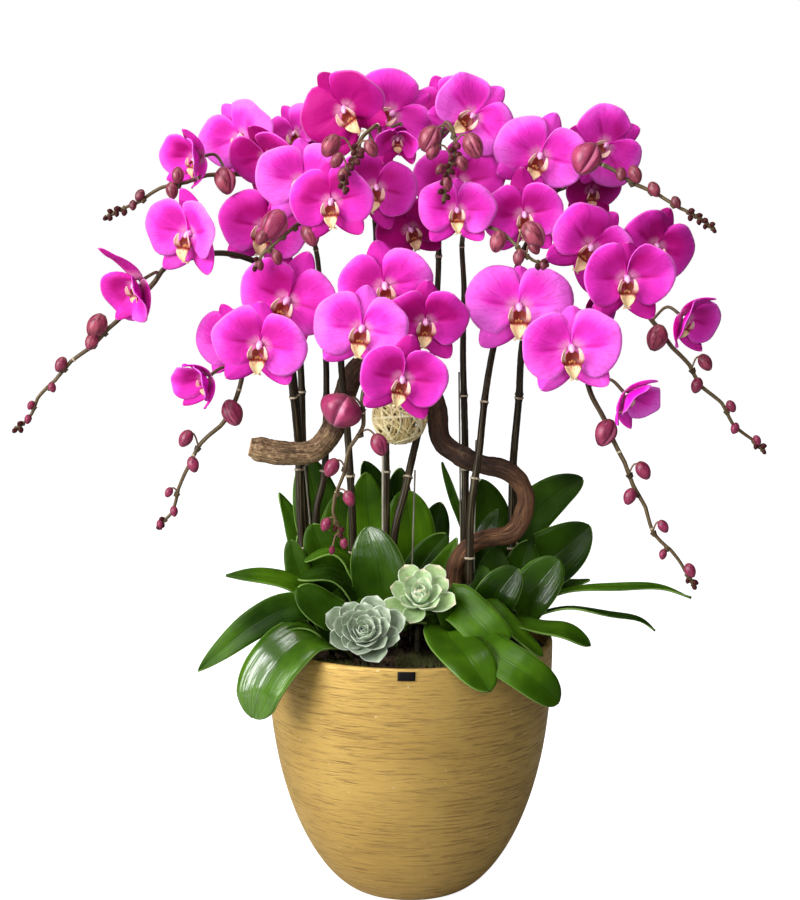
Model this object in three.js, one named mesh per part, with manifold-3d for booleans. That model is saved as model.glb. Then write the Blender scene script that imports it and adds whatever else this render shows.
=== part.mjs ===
// A moth orchid in its pot: eleven flower spikes over glossy leaves, with two succulents,
// a twisted vine and a rattan ball, all standing in one round tapering pot.
// Millimetres, +Z up, the origin at the centre of the pot's underside, the front towards -Y.

import * as THREE from 'three';
import { mergeVertices } from 'three/addons/utils/BufferGeometryUtils.js';
import Module from 'manifold-3d';

const wasm = await Module();
wasm.setup();

// Pot
const potHeight = 259;
const potRimRadius = 144;
const potFootRadius = 52.4;
const potWall = 6;
const potFloor = 9;
const potSides = 36;
const potCurve = { fullness: 2.33, squareness: 1.58 };
const potRows = { count: 9, crowding: 1.6, top: 0.985, lipRound: 0.2 };
const innerRows = [0, 0.08, 0.22, 0.5, 1];

// Potting mix, and the gap that two touching pieces keep
const mixTop = 246;
const seatGap = 0.3;

// Bare plaque under the rim
const plaque = { across: -4, width: 16.8, height: 9, thickness: 1, belowRim: 2.4 };

// Stems, stalks, buds and leaves
const stem = {
  footRadius: 3.8, tipRadius: 1.5, sides: 5, steps: 26, quarters: [0, 0.25, 0.5, 0.75],
};
const stalk = { radius: 1.4, sides: 3, steps: 3, reach: 20 };
const budStalk = {
  radius: 1, sides: 3, steps: 2, forward: 2, droop: 2, behind: 0.4, inside: 0.1,
};
const leaf = {
  thickness: 2.2,
  fold: 0.16,
  places: [1, 0.97, 0.88, 0.72, 0.5, 0.3, 0.14, 0],
  spread: [0, 0.42, 0.78, 1, 0.97, 0.8, 0.5, 0],
};
const crown = { radius: 10, height: 24, heart: 0.45, sides: 8, rows: 5 };

// The place that the hand-read columns and rows were read from: an eye two metres in front
const eye = { across: -10, distance: 2000, height: 715, pitch: THREE.MathUtils.degToRad(7.6) };
const sight = { focal: 2018, centreColumn: 400, centreRow: 450 };

// A real place from a column, a row and how far it lies in front of the pot's axis
function spot([column, row, forward]) {
  const across = (column - sight.centreColumn) / sight.focal;
  const rise = (sight.centreRow - row) / sight.focal;
  const level = Math.cos(eye.pitch) + rise * Math.sin(eye.pitch);
  const climb = rise * Math.cos(eye.pitch) - Math.sin(eye.pitch);
  const reach = (eye.distance - forward) / level;
  return new THREE.Vector3(eye.across + across * reach, -forward, eye.height + climb * reach);
}

// A closed skin of rows from a first pole to a last one, each vertex placed by a rule
function skin(rows, sides, place) {
  const geometry = new THREE.SphereGeometry(1, sides, rows);
  const position = geometry.attributes.position;
  for (let row = 0; row <= rows; row += 1) {
    for (let side = 0; side <= sides; side += 1) {
      const turn = (2 * Math.PI * (side % sides)) / sides;
      const point = place(row / rows, turn, row);
      position.setXYZ(row * (sides + 1) + side, point.x, point.y, point.z);
    }
  }
  return geometry;
}

function closed(geometry) {
  const bare = geometry.clone();
  bare.deleteAttribute('normal');
  bare.deleteAttribute('uv');
  return mergeVertices(bare, 1e-4);
}

// Grown-together pieces become one solid
function join(geometries) {
  let whole = null;
  for (const geometry of geometries) {
    const merged = closed(geometry);
    const solid = new wasm.Manifold(new wasm.Mesh({
      numProp: 3,
      vertProperties: new Float32Array(merged.attributes.position.array),
      triVerts: new Uint32Array(merged.index.array),
    }));
    whole = whole ? whole.add(solid) : solid;
  }
  const mesh = whole.getMesh();
  const joined = new THREE.BufferGeometry();
  joined.setAttribute('position', new THREE.BufferAttribute(mesh.vertProperties, 3));
  joined.setIndex(new THREE.BufferAttribute(mesh.triVerts, 1));
  joined.computeVertexNormals();
  return joined;
}

function finish(color, roughness, metalness = 0) {
  return new THREE.MeshStandardMaterial({ color, roughness, metalness });
}

const orchid = new THREE.Group();

function addPiece(name, geometry, material) {
  const piece = new THREE.Mesh(geometry, material);
  piece.name = name;
  orchid.add(piece);
  return piece;
}

// Turned shapes: the pot and what fills it
function potRadius(height) {
  const left = 1 - height / potHeight;
  const swell = 1 - left ** potCurve.fullness;
  return potFootRadius + (potRimRadius - potFootRadius) * swell ** (1 / potCurve.squareness);
}

function turned(profile) {
  const halfSide = Math.PI / potSides;
  const points = profile.map(([radius, height]) => new THREE.Vector2(radius, height));
  const geometry = new THREE.LatheGeometry(points, potSides, halfSide);
  return geometry.rotateX(Math.PI / 2);
}

function makePot() {
  const outside = [];
  const inside = [];
  for (let step = 0; step < potRows.count; step += 1) {
    const part = (step / (potRows.count - 1)) ** potRows.crowding;
    const height = potHeight * potRows.top * part;
    outside.push([potRadius(height), height]);
  }
  const rim = [
    [potRimRadius - potWall * potRows.lipRound, potHeight],
    [potRimRadius - potWall * (1 - potRows.lipRound), potHeight],
  ];
  for (const height of innerHeights()) {
    inside.push([potRadius(height) - potWall, height]);
  }
  inside.reverse();
  const lip = [potRimRadius - potWall, potHeight * potRows.top];
  return turned([[0, 0], ...outside, ...rim, lip, ...inside, [0, potFloor]]);
}

function innerHeights() {
  return innerRows.map((part) => potFloor + (mixTop - potFloor) * part);
}

function makeMix() {
  const side = innerHeights().map((height) => {
    const lifted = Math.min(height + 2 * seatGap, mixTop);
    return [potRadius(height) - potWall - 2 * seatGap, lifted];
  });
  return turned([[0, potFloor + 2 * seatGap], ...side, [0, mixTop]]);
}

function makePlaque() {
  const flat = potRimRadius * Math.cos(Math.PI / potSides);
  const shape = new THREE.BoxGeometry(plaque.width, plaque.thickness, plaque.height);
  const piece = addPiece('rim_plaque', shape, finish(0x14110f, 0.35));
  piece.position.set(
    plaque.across,
    -(flat + seatGap + plaque.thickness / 2),
    potHeight - plaque.belowRim - plaque.height / 2,
  );
}

addPiece('pot', makePot(), finish(0xb5935a, 0.42, 0.55));
addPiece('potting_mix', makeMix(), finish(0x3a2a1c, 0.95));
makePlaque();

// A tapering tube along hand-read places, flat at both ends; lump makes it swell and shrink
const lumps = { quick: 1.9, slow: 0.7 };

function tube(points, footRadius, tipRadius, sides, steps, lump = 0) {
  const curve = new THREE.CatmullRomCurve3(points, false, 'centripetal');
  const frames = curve.computeFrenetFrames(steps, false);
  const centres = curve.getSpacedPoints(steps);
  const lastRow = steps + 2;
  return skin(lastRow, sides, (part, turn, row) => {
    const along = THREE.MathUtils.clamp(steps + 1 - row, 0, steps);
    const open = row === 0 || row === lastRow ? 0 : 1;
    const wave = 1 + lump * Math.sin(along * lumps.quick) * Math.cos(along * lumps.slow);
    const radius = open * wave * THREE.MathUtils.lerp(footRadius, tipRadius, along / steps);
    return centres[along].clone()
      .addScaledVector(frames.normals[along], radius * Math.cos(turn))
      .addScaledVector(frames.binormals[along], radius * Math.sin(turn));
  });
}

// A place on the mix, or lifted above it, from its x and how far forward it lies
function standing([across, forward], lift = 0) {
  return new THREE.Vector3(across, -forward, mixTop + seatGap + lift);
}

// The start of every route: upright out of the mix
const uprightStart = 8;

function rooted(foot, route) {
  return [standing(foot), standing(foot, uprightStart), ...route.map(spot)];
}

// One leaf: a lens-thin blade along its midrib, its upper side turned towards face
function blade(points, width, face) {
  const curve = new THREE.CatmullRomCurve3(points, false, 'centripetal');
  const rows = leaf.spread.length - 1;
  return skin(rows, 4, (part, turn, row) => {
    const along = leaf.places[row];
    const tangent = curve.getTangentAt(along);
    const upper = face.clone().addScaledVector(tangent, -face.dot(tangent)).normalize();
    const side = new THREE.Vector3().crossVectors(upper, tangent);
    const half = (leaf.spread[row] * width) / 2;
    const thick = row === 0 || row === rows ? 0 : leaf.thickness / 2;
    const lift = leaf.fold * half * Math.abs(Math.cos(turn));
    return curve.getPointAt(along)
      .addScaledVector(side, half * Math.cos(turn))
      .addScaledVector(upper, thick * Math.sin(turn) + lift);
  });
}

function makeCrown([across, forward]) {
  const geometry = new THREE.SphereGeometry(1, crown.sides, crown.rows);
  geometry.rotateX(Math.PI / 2);
  geometry.scale(crown.radius, crown.radius, crown.height / 2);
  const foot = standing([across, forward]);
  return geometry.translate(foot.x, foot.y, foot.z + crown.height / 2);
}

// Leaves of each plant: where its crown stands, and each blade's hand-read places from the
// crown to the tip, width, and the way that its upper side faces
const viewer = [0, -1, 0.35];
const skyward = [0, -0.35, 1];
const leafFans = {
  leaves_left_front: {
    foot: [-72, 62],
    blades: [
      {
        rib: [[322, 640, 84], [303, 640, 98], [279, 660, 110], [262, 686, 116], [254, 718, 114]],
        width: 45,
        face: skyward,
      },
      {
        rib: [[316, 610, 66], [290, 608, 74], [255, 624, 80], [222, 650, 82], [198, 671, 80]],
        width: 34,
        face: skyward,
      },
      { rib: [[345, 625, 67], [322, 608, 71], [297, 588, 74]], width: 34, face: viewer },
    ],
  },
  leaves_left: {
    foot: [-97, 8],
    blades: [
      { rib: [[302, 600, 20], [278, 613, 42], [250, 632, 50]], width: 22, face: skyward },
      {
        rib: [[304, 592, 8], [290, 583, 14], [262, 577, 22], [226, 575, 26]],
        width: 26,
        face: skyward,
      },
      { rib: [[306, 600, -2], [298, 570, -4], [290, 540, -8]], width: 26, face: viewer },
    ],
  },
  leaves_left_back: {
    foot: [-70, -52],
    blades: [
      { rib: [[340, 596, -30], [329, 568, -16], [312, 524, -12]], width: 40, face: viewer },
      { rib: [[346, 590, -88], [324, 530, -98], [306, 456, -108]], width: 56, face: viewer },
      {
        rib: [[331, 592, -92], [304, 550, -100], [290, 515, -102], [279, 493, -98]],
        width: 22,
        face: viewer,
      },
    ],
  },
  leaves_centre: {
    foot: [-32, 31],
    blades: [
      { rib: [[384, 606, 22], [378, 566, 26], [366, 526, 32]], width: 60, face: viewer },
      { rib: [[352, 590, 22], [330, 574, 26], [298, 580, 32]], width: 28, face: skyward },
      { rib: [[358, 575, 10], [334, 552, 10], [305, 562, 12]], width: 20, face: skyward },
      { rib: [[350, 612, 46], [318, 590, 54], [334, 604, 64]], width: 14, face: skyward },
    ],
  },
  leaves_back: {
    foot: [-8, -62],
    blades: [
      { rib: [[376, 560, -62], [368, 512, -62], [366, 474, -60]], width: 36, face: viewer },
      { rib: [[388, 550, -90], [376, 490, -94], [364, 460, -92]], width: 30, face: viewer },
      { rib: [[412, 574, -52], [410, 530, -48], [405, 490, -44]], width: 48, face: viewer },
      { rib: [[420, 580, -78], [434, 530, -88], [440, 502, -90]], width: 32, face: viewer },
      { rib: [[412, 586, -30], [428, 556, -26], [447, 534, -22]], width: 34, face: viewer },
    ],
  },
  leaves_right_back: {
    foot: [62, -66],
    blades: [
      { rib: [[482, 570, -74], [488, 520, -84], [482, 479, -84]], width: 54, face: viewer },
      { rib: [[474, 560, -60], [454, 500, -62], [442, 462, -62]], width: 9, face: viewer },
      {
        rib: [[500, 560, -84], [528, 516, -92], [556, 490, -94], [583, 477, -94]],
        width: 42,
        face: viewer,
      },
      { rib: [[478, 560, -52], [488, 530, -52], [500, 509, -52]], width: 24, face: viewer },
      {
        rib: [[494, 586, -82], [528, 570, -84], [558, 553, -78], [590, 526, -72]],
        width: 62,
        face: viewer,
      },
      { rib: [[520, 600, -77], [552, 588, -73], [590, 580, -68]], width: 14, face: viewer },
    ],
  },
  leaves_right: {
    foot: [100, -14],
    blades: [
      {
        rib: [[536, 606, 6], [570, 590, 10], [620, 587, 14], [660, 588, 14], [691, 598, 14]],
        width: 10,
        face: skyward,
      },
      {
        rib: [[540, 615, 22], [570, 608, 26], [610, 614, 30], [640, 620, 30], [655, 631, 30]],
        width: 8,
        face: skyward,
      },
      { rib: [[508, 622, 12], [532, 592, 22], [559, 560, 26]], width: 42, face: viewer },
    ],
  },
  leaves_right_front: {
    foot: [58, 52],
    blades: [
      {
        rib: [[447, 632, 82], [452, 640, 100], [468, 660, 130], [488, 693, 148]],
        width: 40,
        face: skyward,
      },
      {
        rib: [[480, 638, 92], [497, 655, 118], [522, 672, 134], [542, 687, 134], [559, 702, 128]],
        width: 42,
        face: skyward,
      },
      {
        rib: [[456, 604, 64], [472, 616, 80], [488, 632, 90], [499, 650, 90]],
        width: 38,
        face: skyward,
      },
      {
        rib: [[484, 604, 48], [500, 618, 62], [522, 638, 72], [543, 656, 74]],
        width: 24,
        face: skyward,
      },
      {
        rib: [[493, 622, 43], [540, 628, 56], [566, 632, 60], [590, 646, 60]],
        width: 26,
        face: skyward,
      },
      { rib: [[488, 612, 36], [498, 594, 42], [518, 568, 46]], width: 42, face: viewer },
    ],
  },
};

function makeLeaves() {
  for (const [name, plant] of Object.entries(leafFans)) {
    const heart = standing(plant.foot, crown.height * crown.heart);
    const parts = [makeCrown(plant.foot)];
    for (const { rib, width, face } of plant.blades) {
      parts.push(blade([heart, ...rib.map(spot)], width, new THREE.Vector3(...face)));
    }
    addPiece(name, join(parts), finish(0x2f6f1e, 0.35));
  }
}

// One flower, looking along its own +Z: petals left and right, sepals up and slanting down.
// Reaches, radii, rises and depths are parts of the flower's width
const bloom = {
  thickness: 4,
  sides: 18,
  core: 0.2,
  backRadius: 0.07,
  lipTip: { radius: 0, rise: -0.06, depth: 0.1 },
  lipFoot: { radius: 0.12, rise: -0.03, depth: 0.05 },
};
const lobes = [
  { at: 10, reach: 0.5, width: 0.5 },
  { at: 170, reach: 0.5, width: 0.5 },
  { at: 90, reach: 0.44, width: 3 },
  { at: -53, reach: 0.45, width: 3 },
  { at: -127, reach: 0.45, width: 3 },
];

function lobeReach(turn) {
  let longest = bloom.core;
  for (const { at, reach, width } of lobes) {
    const lean = Math.cos(turn - THREE.MathUtils.degToRad(at));
    if (lean > 0) {
      longest = Math.max(longest, reach * lean ** width);
    }
  }
  return longest;
}

function makeBloomShape(width, cup) {
  const sweep = (cup * Math.PI) / 2;
  const back = -bloom.thickness / width;
  const rings = [
    () => bloom.lipTip,
    () => bloom.lipFoot,
    (turn) => {
      const reach = lobeReach(turn);
      return { radius: reach * Math.cos(sweep), rise: 0, depth: reach * Math.sin(sweep) };
    },
    () => ({ radius: bloom.backRadius, rise: 0, depth: back / 2 }),
    () => ({ radius: 0, rise: 0, depth: back }),
  ];
  return skin(rings.length - 1, bloom.sides, (part, turn, row) => {
    const { radius, rise, depth } = rings[row](turn);
    return new THREE.Vector3(
      width * radius * Math.cos(turn),
      width * (radius * Math.sin(turn) + rise),
      width * depth,
    );
  });
}

// The way a flower looks: yaw to the right, pitch up, and roll against the clock
function bloomBasis({ yaw, pitch, roll }) {
  const rad = THREE.MathUtils.degToRad;
  const look = new THREE.Vector3(
    Math.sin(rad(yaw)) * Math.cos(rad(pitch)),
    -Math.cos(rad(yaw)) * Math.cos(rad(pitch)),
    Math.sin(rad(pitch)),
  );
  const right = new THREE.Vector3(0, 0, 1).cross(look).normalize();
  const top = new THREE.Vector3().crossVectors(look, right);
  return new THREE.Matrix4().makeBasis(right, top, look)
    .multiply(new THREE.Matrix4().makeRotationZ(rad(roll)));
}

// Spikes: where each stem stands, its hand-read route to the tip, its flowers and its buds.
// A flower gives its place, its real width in millimetres and the way it looks; cup 0 is flat
// and 1 is shut. A bud gives its column, row and real length.
const spikes = {
  upper_left: {
    foot: [-94, -74],
    route: [[304, 470, -78], [301, 372, -74], [294, 290, -62], [282, 222, -44], [263, 184, -28],
      [236, 174, 2], [209, 176, 26], [180, 183, 40], [156, 191, 42], [135, 203, 44], [107, 217, 44]],
    blooms: [
      { at: [197, 158, 16], width: 70, yaw: -48, pitch: -8, roll: -10, cup: 0.5 },
      { at: [242, 137, -17], width: 86, yaw: -20, pitch: 2, roll: 35, cup: 0.08 },
      { at: [269, 156, 20], width: 80, yaw: -26, pitch: -28, roll: 10, cup: 0.16 },
    ],
    buds: [[225, 180, 26], [178, 175, 16], [172, 190, 16], [140, 195, 12], [133, 205, 10]],
  },
  long_left: {
    foot: [-104, -50],
    route: [[301, 470, -56], [293, 372, -48], [284, 310, -26], [272, 276, -6], [249, 259, 28],
      [219, 253, 44], [190, 258, 46], [165, 268, 54], [153, 284, 58], [122, 316, 62],
      [100, 338, 64], [71, 363, 66], [41, 395, 68], [31, 414, 68], [17, 428, 68]],
    blooms: [
      { at: [266, 228, 21.5], width: 90, yaw: -8, pitch: 0, roll: -12, cup: 0.08 },
      { at: [191, 234, 78], width: 88, yaw: -36, pitch: -4, roll: -6, cup: 0.18 },
      { at: [137, 283, 92], width: 84, yaw: -52, pitch: -30, roll: 8, cup: 0.35 },
    ],
    buds: [[97, 325, 24], [92, 341, 17], [61, 364, 15], [52, 387, 10], [31, 405, 9], [28, 419, 9]],
  },
  lower_left: {
    foot: [-106, -28],
    route: [[300, 505, -34], [298, 443, -36], [290, 372, -20], [281, 325, 12], [266, 302, 44],
      [251, 314, 68], [245, 345, 84], [242, 376, 92], [230, 413, 98], [205, 440, 102],
      [188, 465, 104], [172, 510, 106], [160, 525, 106]],
    blooms: [
      { at: [287, 301, 88], width: 92, yaw: -6, pitch: -2, roll: -26, cup: 0.08 },
      { at: [260, 345, 122], width: 88, yaw: -6, pitch: -6, roll: -4, cup: 0.1 },
      { at: [206, 378, 108], width: 62, yaw: -45, pitch: -22, roll: 0, cup: 0.55 },
    ],
    buds: [[232, 412, 25], [186, 438, 17], [193, 464, 15], [169, 492, 10], [174, 511, 10],
      [160, 524, 9]],
  },
  centre_left: {
    foot: [-86, -38],
    route: [[316, 515, -38], [324, 477, -38], [326, 420, -36], [326, 360, -28], [322, 315, -20],
      [318, 262, -8], [314, 242, 8], [309, 230, 44], [301, 224, 82], [279, 239, 104],
      [262, 257, 108], [256, 266, 108]],
    blooms: [
      { at: [303, 182, 56], width: 88, yaw: -2, pitch: 6, roll: 0, cup: 0.08 },
      { at: [332, 202, 106], width: 80, yaw: -12, pitch: -6, roll: 4, cup: 0.12 },
    ],
    buds: [[274, 224, 30], [262, 237, 15], [310, 234, 22], [277, 257, 14], [260, 265, 10]],
  },
  top_left: {
    foot: [-27, -14],
    route: [[386, 530, -20], [386, 462, -24], [384, 390, -26], [380, 320, -20], [376, 236, -4],
      [372, 184, 10], [371, 166, 34], [374, 148, 60], [379, 130, 78], [376, 125, 88],
      [364, 135, 100], [355, 156, 118], [344, 174, 132], [345, 191, 140]],
    blooms: [
      { at: [346, 109, 58], width: 88, yaw: -20, pitch: -14, roll: 35, cup: 0.1 },
      { at: [391, 114, 16], width: 90, yaw: 8, pitch: 0, roll: -62, cup: 0.08 },
      { at: [398, 137, 70], width: 52, yaw: -8, pitch: -34, roll: 0, cup: 0.6 },
      { at: [375, 188, 66], width: 80, yaw: 16, pitch: 0, roll: -16, cup: 0.1 },
    ],
    buds: [[331, 145, 22], [337, 160, 15], [371, 148, 17], [343, 176, 15]],
  },
  centre_hanging: {
    foot: [-57, -12],
    route: [[353, 539, -10], [350, 470, -2], [347, 427, 4], [341, 360, 12], [342, 312, 20],
      [352, 276, 34], [366, 268, 46], [379, 296, 68], [381, 332, 88], [373, 368, 106],
      [364, 390, 116], [362, 426, 120], [349, 452, 122], [344, 470, 124], [335, 501, 124],
      [333, 514, 124], [340, 532, 124]],
    blooms: [
      { at: [385, 286, 92], width: 88, yaw: 0, pitch: -6, roll: 8, cup: 0.08 },
      { at: [362, 329, 128], width: 88, yaw: -4, pitch: 0, roll: -8, cup: 0.1 },
      { at: [425, 322, 112], width: 80, yaw: 6, pitch: -4, roll: -4, cup: 0.1 },
      { at: [402, 379, 168], width: 82, yaw: 4, pitch: -8, roll: -14, cup: 0.1 },
    ],
    buds: [[342, 411, 34], [379, 444, 21], [332, 467, 18], [349, 498, 15], [326, 524, 13],
      [344, 543, 10], [332, 550, 8]],
  },
  top_right: {
    foot: [-14, 8],
    route: [[394, 538, 6], [405, 490, 2], [415, 446, -14], [426, 400, -34], [434, 340, -38],
      [438, 280, -28], [439, 220, -8], [439, 170, 8], [440, 142, 26], [443, 127, 54],
      [449, 124, 76], [455, 134, 90], [454, 150, 94], [448, 173, 96], [444, 198, 96]],
    blooms: [
      { at: [472, 116, 42], width: 84, yaw: 4, pitch: -2, roll: -50, cup: 0.08 },
      { at: [458, 184, 32], width: 88, yaw: 0, pitch: 8, roll: 0, cup: 0.06 },
    ],
    buds: [[430, 138, 25], [433, 151, 16], [473, 145, 24], [462, 163, 15], [440, 169, 11],
      [447, 183, 14]],
  },
  centre_right: {
    foot: [56, -34],
    route: [[465, 530, -38], [465, 443, -40], [463, 351, -34], [464, 288, -24], [462, 244, -8],
      [466, 231, 24], [477, 228, 48], [489, 226, 74], [502, 234, 96], [518, 246, 108],
      [535, 262, 110], [545, 264, 110]],
    blooms: [
      { at: [457, 211, 82], width: 72, yaw: 0, pitch: 4, roll: 0, cup: 0.1 },
      { at: [524, 215, 62], width: 78, yaw: 2, pitch: -4, roll: 2, cup: 0.1 },
    ],
    buds: [[498, 241, 20], [533, 234, 26], [534, 247, 14], [519, 257, 15], [544, 264, 11]],
  },
  upper_right: {
    foot: [60, 26],
    route: [[470, 531, 24], [472, 499, 24], [479, 453, 20], [485, 397, 10], [494, 345, 0],
      [506, 300, -10], [524, 250, -12], [547, 204, -8], [562, 184, 4], [575, 172, 24],
      [587, 163, 48], [601, 164, 66], [621, 176, 72], [641, 186, 74], [662, 198, 76], [684, 209, 78],
      [712, 228, 78]],
    blooms: [
      { at: [539, 156, 46], width: 88, yaw: 6, pitch: -4, roll: -24, cup: 0.08 },
      { at: [604, 145, 4], width: 82, yaw: 14, pitch: -8, roll: -66, cup: 0.1 },
    ],
    buds: [[588, 158, 32], [621, 174, 14], [635, 174, 17], [654, 189, 15], [676, 202, 12]],
  },
  long_right: {
    foot: [102, -56],
    route: [[514, 520, -62], [513, 467, -62], [519, 397, -58], [522, 347, -54], [534, 290, -40],
      [556, 250, -16], [590, 242, 10], [620, 262, 34], [638, 294, 54], [648, 315, 62],
      [668, 341, 68], [686, 362, 70], [699, 382, 72], [721, 404, 74], [735, 425, 76],
      [762, 449, 76]],
    blooms: [
      { at: [589, 247, 56], width: 88, yaw: 12, pitch: -8, roll: -36, cup: 0.08 },
      { at: [626, 279, 106], width: 88, yaw: 8, pitch: -4, roll: -2, cup: 0.12 },
      { at: [655, 246, 32], width: 82, yaw: 18, pitch: -6, roll: -24, cup: 0.08 },
      { at: [685, 318, 80], width: 70, yaw: 46, pitch: -26, roll: -10, cup: 0.4 },
    ],
    buds: [[657, 337, 25], [705, 362, 17], [697, 385, 15], [731, 406, 12], [735, 428, 11],
      [757, 440, 10]],
  },
  lower_right: {
    foot: [106, -28],
    route: [[512, 500, -34], [513, 467, -34], [519, 397, -28], [522, 347, -16], [530, 316, 6],
      [546, 302, 32], [565, 314, 62], [578, 345, 84], [585, 372, 94], [591, 394, 98],
      [603, 417, 100], [615, 443, 102], [627, 470, 104], [642, 502, 106], [656, 535, 108],
      [682, 564, 110], [693, 584, 110]],
    blooms: [
      { at: [519, 308, 76], width: 100, yaw: -2, pitch: 4, roll: -1, cup: 0.08 },
      { at: [571, 349, 128], width: 94, yaw: 2, pitch: 2, roll: 2, cup: 0.1 },
      { at: [590, 313, 40], width: 56, yaw: 58, pitch: -10, roll: 0, cup: 0.3 },
      { at: [627, 395, 112], width: 66, yaw: 52, pitch: -34, roll: -20, cup: 0.5 },
    ],
    buds: [[606, 432, 26], [643, 470, 18], [630, 496, 16], [663, 526, 13], [663, 554, 10],
      [690, 570, 14]],
  },
};

// A bud, fat in the middle, from its stalk's end to its tip
const bud = { sides: 5, girths: [0, 0.29, 0.37, 0], places: [1, 0.72, 0.3, -0.04] };

function makeBud(start, way, length) {
  const across = new THREE.Vector3(0, 1, 0).cross(way).normalize();
  const over = new THREE.Vector3().crossVectors(way, across);
  return skin(bud.places.length - 1, bud.sides, (part, turn, row) => start.clone()
    .addScaledVector(way, bud.places[row] * length)
    .addScaledVector(across, bud.girths[row] * length * Math.cos(turn))
    .addScaledVector(over, bud.girths[row] * length * Math.sin(turn)));
}

// Points along a stem's straight steps, so that every stalk starts inside its stem
function stemSamples(points) {
  const curve = new THREE.CatmullRomCurve3(points, false, 'centripetal');
  const joints = curve.getSpacedPoints(stem.steps);
  const samples = [];
  for (let step = 1; step < stem.steps - 1; step += 1) {
    for (const part of stem.quarters) {
      samples.push(joints[step].clone().lerp(joints[step + 1], part));
    }
  }
  return samples;
}

// The sample nearest to a place
function nearest(samples, place) {
  return samples.reduce((best, one) => (
    one.distanceTo(place) < best.distanceTo(place) ? one : best
  ));
}

function makeSpikes() {
  for (const [name, spike] of Object.entries(spikes)) {
    const points = rooted(spike.foot, spike.route);
    const samples = stemSamples(points);
    const parts = [tube(points, stem.footRadius, stem.tipRadius, stem.sides, stem.steps)];
    spike.blooms.forEach((one, index) => {
      const basis = bloomBasis(one);
      const look = new THREE.Vector3().setFromMatrixColumn(basis, 2);
      const place = spot(one.at);
      const back = place.clone().addScaledVector(look, -bloom.thickness - seatGap);
      const bend = back.clone().addScaledVector(look, -stalk.reach);
      const route = [nearest(samples, bend), bend, back];
      parts.push(tube(route, stalk.radius, stalk.radius, stalk.sides, stalk.steps));
      const flower = addPiece(
        `${name}_bloom_${index + 1}`,
        makeBloomShape(one.width, one.cup),
        finish(0xd81fb0, 0.55),
      );
      flower.quaternion.setFromRotationMatrix(basis);
      flower.position.copy(place);
    });
    for (const [column, row, length] of spike.buds) {
      const guess = nearest(samples, spot([column, row, spike.route.at(-3)[2]]));
      const centre = spot([column, row, budStalk.forward - guess.y]);
      const root = nearest(samples, centre);
      const way = centre.clone().sub(root);
      way.z -= budStalk.droop;
      way.normalize();
      const start = centre.clone().addScaledVector(way, -budStalk.behind * length);
      parts.push(makeBud(start, way, length));
      const inside = start.clone().addScaledVector(way, budStalk.inside * length);
      const { radius, sides, steps } = budStalk;
      parts.push(tube([root, inside], radius, radius, sides, steps));
    }
    addPiece(`${name}_spike`, join(parts), finish(0x5a4a2c, 0.6));
  }
}

// The vine: one rough piece of wood that stands at the right, arches over the ball and
// hangs out to its cut end at the left
const vine = {
  foot: [42, -6],
  route: [[453, 590, 0], [455, 566, 2], [465, 550, 4], [484, 539, 6], [510, 534, 4],
    [521, 520, 0], [526, 499, -4], [519, 481, -6], [503, 469, -6], [484, 465, -6],
    [458, 454, -6], [441, 440, -6], [436, 408, -8], [424, 378, -8], [400, 362, -8],
    [372, 358, -10], [352, 376, -12], [340, 412, -14], [328, 437, -14], [313, 451, -12],
    [282, 453, -8], [250, 447, -4]],
  footRadius: 8.5,
  tipRadius: 10.5,
  sides: 7,
  steps: 38,
  lump: 0.06,
};

function makeVine() {
  const { footRadius, tipRadius, sides, steps, lump } = vine;
  const shape = tube(rooted(vine.foot, vine.route), footRadius, tipRadius, sides, steps, lump);
  addPiece('twisted_vine', shape, finish(0x5b3d25, 0.85));
}

// The ball, and the thin stake that carries it
const ball = { at: [400, 417, 18], radius: 27.5 };
const ballStake = { across: -17, forward: -8, radius: 1.3 };

function makeBall() {
  const centre = spot(ball.at);
  const shape = new THREE.SphereGeometry(ball.radius, 16, 10);
  addPiece('rattan_ball', shape, finish(0xd8c48f, 0.8)).position.copy(centre);
  const foot = mixTop + seatGap;
  const aside = Math.hypot(ballStake.across, ballStake.forward) - ballStake.radius;
  const top = centre.z - Math.sqrt(ball.radius ** 2 - aside ** 2) - seatGap;
  const stake = new THREE.CylinderGeometry(ballStake.radius, ballStake.radius, top - foot, 8);
  stake.rotateX(Math.PI / 2);
  const piece = addPiece('ball_stake', stake, finish(0xb9b09a, 0.7));
  piece.position.set(
    centre.x + ballStake.across,
    centre.y - ballStake.forward,
    (top + foot) / 2,
  );
}

// A succulent: rings of thick pointed leaves round a short stalk, leaning to the viewer
const rosettes = {
  succulent_front: {
    at: [365, 636, 95], foot: [-44, 78], radius: 41, pitch: 48, rings: [8, 5], color: 0x86a091,
  },
  succulent_back: {
    at: [420, 590, 62], foot: [8, 42], radius: 35, pitch: 52, rings: [7, 5], color: 0xa9cfa6,
  },
};

const rosetteStalk = { radius: 5, sides: 6, steps: 4 };
const rosetteLeaf = {
  opening: 12,
  openingStep: 26,
  shrink: 0.2,
  halfThickness: 3,
  halfWidths: [0, 0.34, 0.26, 0],
  places: [1, 0.78, 0.3, -0.06],
};

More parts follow.
